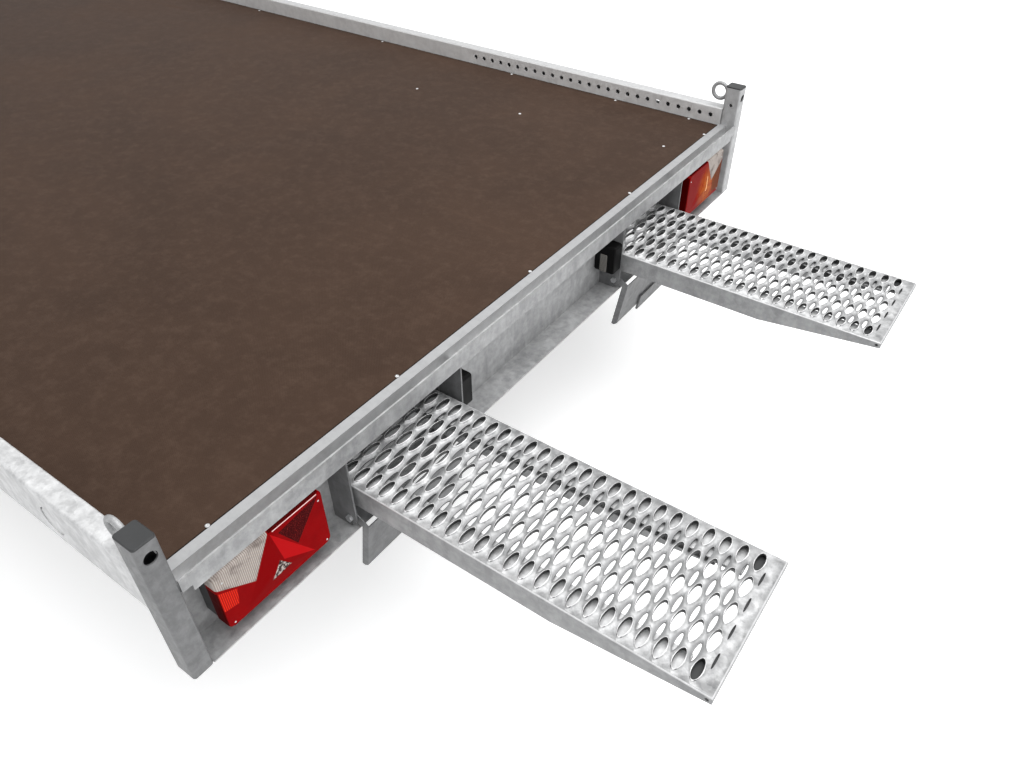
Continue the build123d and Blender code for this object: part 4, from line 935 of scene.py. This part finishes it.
# each wheel's axle place along the trailer, and its side
wheels = {}
for name in ("rear_left", "rear_right", "front_left", "front_right"):
    low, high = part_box("rim_" + name)
    wheels[name] = ((low[0] + high[0]) / 2, 1 if "left" in name else -1)
tyre = {
    "radius": 0.2626, "centre": 0.888, "around": 288, "bead": 0.170, "beadHalf": 0.072, "lip": 0.185,
    "wall": (0.216, 0.0985), "shoulder": (0.2516, 0.0878), "wallSteps": 10, "crown": 0.0022,
    "tread": 0.071, "treadSteps": 49, "depth": 0.0065, "grooves": (0.018, 0.046), "groove": 0.0035,
    "blocks": 72, "slot": 0.22, "slotDepth": 0.8, "lean": (0.9, 0.35),
}


def circleThrough(a, b, c, steps):
    # the arc from a through b to c, from the centre where their mid-lines meet
    a, b, c = (np.asarray(p, float) for p in (a, b, c))
    matrix = 2 * np.array([b - a, c - a])
    centre = np.linalg.solve(matrix, [b @ b - a @ a, c @ c - a @ a])
    start, end = (np.arctan2(*(p - centre)[::-1]) for p in (a, c))
    angle = np.linspace(start, end, steps)
    return centre + np.linalg.norm(a - centre) * np.column_stack([np.cos(angle), np.sin(angle)])


def tyreProfile(look):
    # (radius, across) from bead to bead: an arc for each sidewall, and radius = R - crown (y / tread)^2
    bead = np.array([(look["bead"], look["beadHalf"])])
    start = (look["lip"], look["beadHalf"])
    wall = circleThrough(start, look["wall"], look["shoulder"], look["wallSteps"])
    across = np.linspace(look["tread"], -look["tread"], look["treadSteps"])
    tread = np.column_stack([look["radius"] - look["crown"] * (across / look["tread"]) ** 2, across])
    mirror = [1, -1]
    return np.concatenate([bead, wall, tread, wall[::-1] * mirror, bead * mirror])


def tyreSurface(look):
    # the profile turned about the axle, (r cos t, y, r sin t); grooves run round where |y| is near one,
    # and slots cut the blocks where the turn, leaned by y, is in the middle of its block
    profile = tyreProfile(look)
    angle = np.arange(look["around"]) * 2 * np.pi / look["around"]
    radius, place = profile[:, :1], profile[:, 1:]
    outward = np.abs(place)
    onTread = outward <= look["tread"] + 1e-6
    groove = np.zeros(place.shape)
    for middle in look["grooves"]:
        groove = np.maximum(groove, np.clip(1.6 - np.abs(outward - middle) / look["groove"], 0, 1))
    middleLean, shoulderLean = look["lean"]
    lean = np.where(outward > look["grooves"][1], shoulderLean, middleLean) * place / look["tread"]
    phase = (angle[None] * look["blocks"] / (2 * np.pi) + lean * 2) % 1
    slots = (np.abs(phase - 0.5) < look["slot"] / 2) & (outward > look["grooves"][0] + 0.006)
    turned = radius - np.maximum(groove, slots * look["slotDepth"]) * onTread * look["depth"]
    across = np.broadcast_to(place, turned.shape)
    verts = np.stack([turned * np.cos(angle), across, turned * np.sin(angle)], -1)
    return verts.reshape(-1, 3), [gridFaces(len(profile), look["around"], wrapColumns=True)]


bolts = {"count": 5, "circle": 0.056, "seat": 0.030, "radius": 0.0095, "height": 0.014, "firstTurn": 0.3}


def wheelBolts(look):
    # six-sided heads with a bevelled end and a round collar, in a ring about the axle
    r, h = look["radius"], look["height"]
    head = ((r, 0.002), (r, h * 0.85), (r * 0.82, h), (0, h))
    collar = ((r * 1.45, -0.0005), (r * 1.45, 0.0015), (r * 1.05, 0.0035), (0, 0.0035))
    angle = np.arange(look["count"]) * 2 * np.pi / look["count"] + look["firstTurn"]
    seats = np.full(look["count"], look["seat"])
    places = np.column_stack([look["circle"] * np.cos(angle), seats, look["circle"] * np.sin(angle)])
    shapes = (lathe(head, 6, axis=1), lathe(collar, 24, axis=1))
    return joinArrays([repeatPiece(*weld(*shape), places) for shape in shapes])


tyreVerts, tyreFaces = tyreSurface(tyre)
boltVerts, boltFaces = wheelBolts(bolts)
for name, (wheelX, side) in wheels.items():
    hub = np.array([wheelX, side * tyre["centre"], tyre["radius"]])
    tyreObject = putMesh("road_tyre_" + name, tyreVerts + hub, tyreFaces, finishes["tyre_rubber"])
    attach(tyreObject, "wheel_" + name)
    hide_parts("tyre_" + name)
    turned = boltVerts * [side, side, 1]
    boltObject = putMesh("wheel_bolts_" + name, turned + hub, boltFaces, finishes["zinc"], smooth=False)
    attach(boltObject, "wheel_" + name)
print("tyres and wheel bolts made")

# the shade is a painted shadow, where the floor's white is left out: axis, middle, and how far out it ends
studio = {
    "floorGrey": 0.80, "floorGlow": 0.55, "floorHalf": 30, "floorZ": -0.0015,
    "skyLow": (0.52, 0.52, 0.53), "skyHigh": (0.86, 0.87, 0.88), "skyPower": 0.75,
    "shade": ((0, 0.0, (2.17, 2.29)), (1, -0.65, (0.85, 1.10))),
}
softBoxes = {
    "over the rear": {"place": (-3.4, -0.6, 5.2), "aim": (-2.2, -0.2, 0.6), "size": (6, 5), "power": 280},
    "behind the left": {"place": (-7.0, 3.0, 3.5), "aim": (-2.4, 0, 0.5), "size": (4, 3), "power": 60},
}


def seenDirectly(tree):
    # 1 for what the camera sees straight, mirrored or through something clear, 0 for plain light
    path = tree.nodes.new("ShaderNodeLightPath")
    rays = ("Is Camera Ray", "Is Glossy Ray", "Is Transmission Ray")
    return greatest(tree, *(path.outputs[ray] for ray in rays))


def paleFloor(look):
    # a wide plane that adds its own white to what is seen, but not in a box under the deck, which is a
    # painted
    # shadow: white = glow times the greater of the soft steps of |x - middle| and |y - middle|
    mat = bpy.data.materials.new("pale floor")
    mat.use_nodes = True
    tree = mat.node_tree
    tree.nodes.clear()
    out = tree.nodes.new("ShaderNodeOutputMaterial")
    diffuse = tree.nodes.new("ShaderNodeBsdfDiffuse")
    diffuse.inputs["Color"].default_value = (look["floorGrey"],) * 3 + (1,)
    glow = tree.nodes.new("ShaderNodeEmission")
    coord = tree.nodes.new("ShaderNodeTexCoord").outputs["Object"]
    away = []
    for axis, middle, reach in look["shade"]:
        offset = combine(tree, "SUBTRACT", axisOf(tree, coord, axis), middle)
        away.append(spread(tree, combine(tree, "ABSOLUTE", offset), *reach))
    seenWhite = times(tree, seenDirectly(tree), greatest(tree, *away))
    tree.links.new(times(tree, seenWhite, look["floorGlow"]), glow.inputs["Strength"])
    both = tree.nodes.new("ShaderNodeAddShader")
    tree.links.new(diffuse.outputs[0], both.inputs[0])
    tree.links.new(glow.outputs[0], both.inputs[1])
    tree.links.new(both.outputs[0], out.inputs["Surface"])
    corners = np.array([(-1, -1), (1, -1), (1, 1), (-1, 1)]) * look["floorHalf"]
    verts = np.column_stack([corners, np.full(4, look["floorZ"])])
    floor = putMesh("floor", verts, [np.array([[0, 1, 2, 3]])], mat, smooth=False)


def softWorld(look):
    # white to the camera; the light it gives grows from the horizon up
    world = bpy.data.worlds.new("world")
    bpy.context.scene.world = world
    world.use_nodes = True
    tree = world.node_tree
    tree.nodes.clear()
    out = tree.nodes.new("ShaderNodeOutputWorld")
    seenNode = tree.nodes.new("ShaderNodeBackground")
    seenNode.inputs["Color"].default_value = (1, 1, 1, 1)
    lightNode = tree.nodes.new("ShaderNodeBackground")
    height = axisOf(tree, tree.nodes.new("ShaderNodeTexCoord").outputs["Generated"], 2)
    sky = mixRGBA(tree, spread(tree, height, -0.1, 0.9), look["skyLow"], look["skyHigh"])
    tree.links.new(sky, lightNode.inputs["Color"])
    lightNode.inputs["Strength"].default_value = look["skyPower"]
    mix = tree.nodes.new("ShaderNodeMixShader")
    tree.links.new(seenDirectly(tree), mix.inputs[0])
    tree.links.new(lightNode.outputs[0], mix.inputs[1])
    tree.links.new(seenNode.outputs[0], mix.inputs[2])
    tree.links.new(mix.outputs[0], out.inputs["Surface"])


def areaLamp(name, look):
    # a rectangular soft box that looks at a point
    data = bpy.data.lights.new(name, "AREA")
    data.shape = "RECTANGLE"
    data.size, data.size_y = look["size"]
    data.energy = look["power"]
    light = bpy.data.objects.new(name, data)
    bpy.context.scene.collection.objects.link(light)
    turn = (Vector(look["aim"]) - Vector(look["place"])).to_track_quat("-Z", "Y")
    light.matrix_world = Matrix.Translation(look["place"]) @ turn.to_matrix().to_4x4()


paleFloor(studio)
softWorld(studio)
for boxName, boxLook in softBoxes.items():
    areaLamp("soft box " + boxName, boxLook)
bpy.context.scene.view_settings.view_transform = "Standard"
print("floor, world and lamps set")
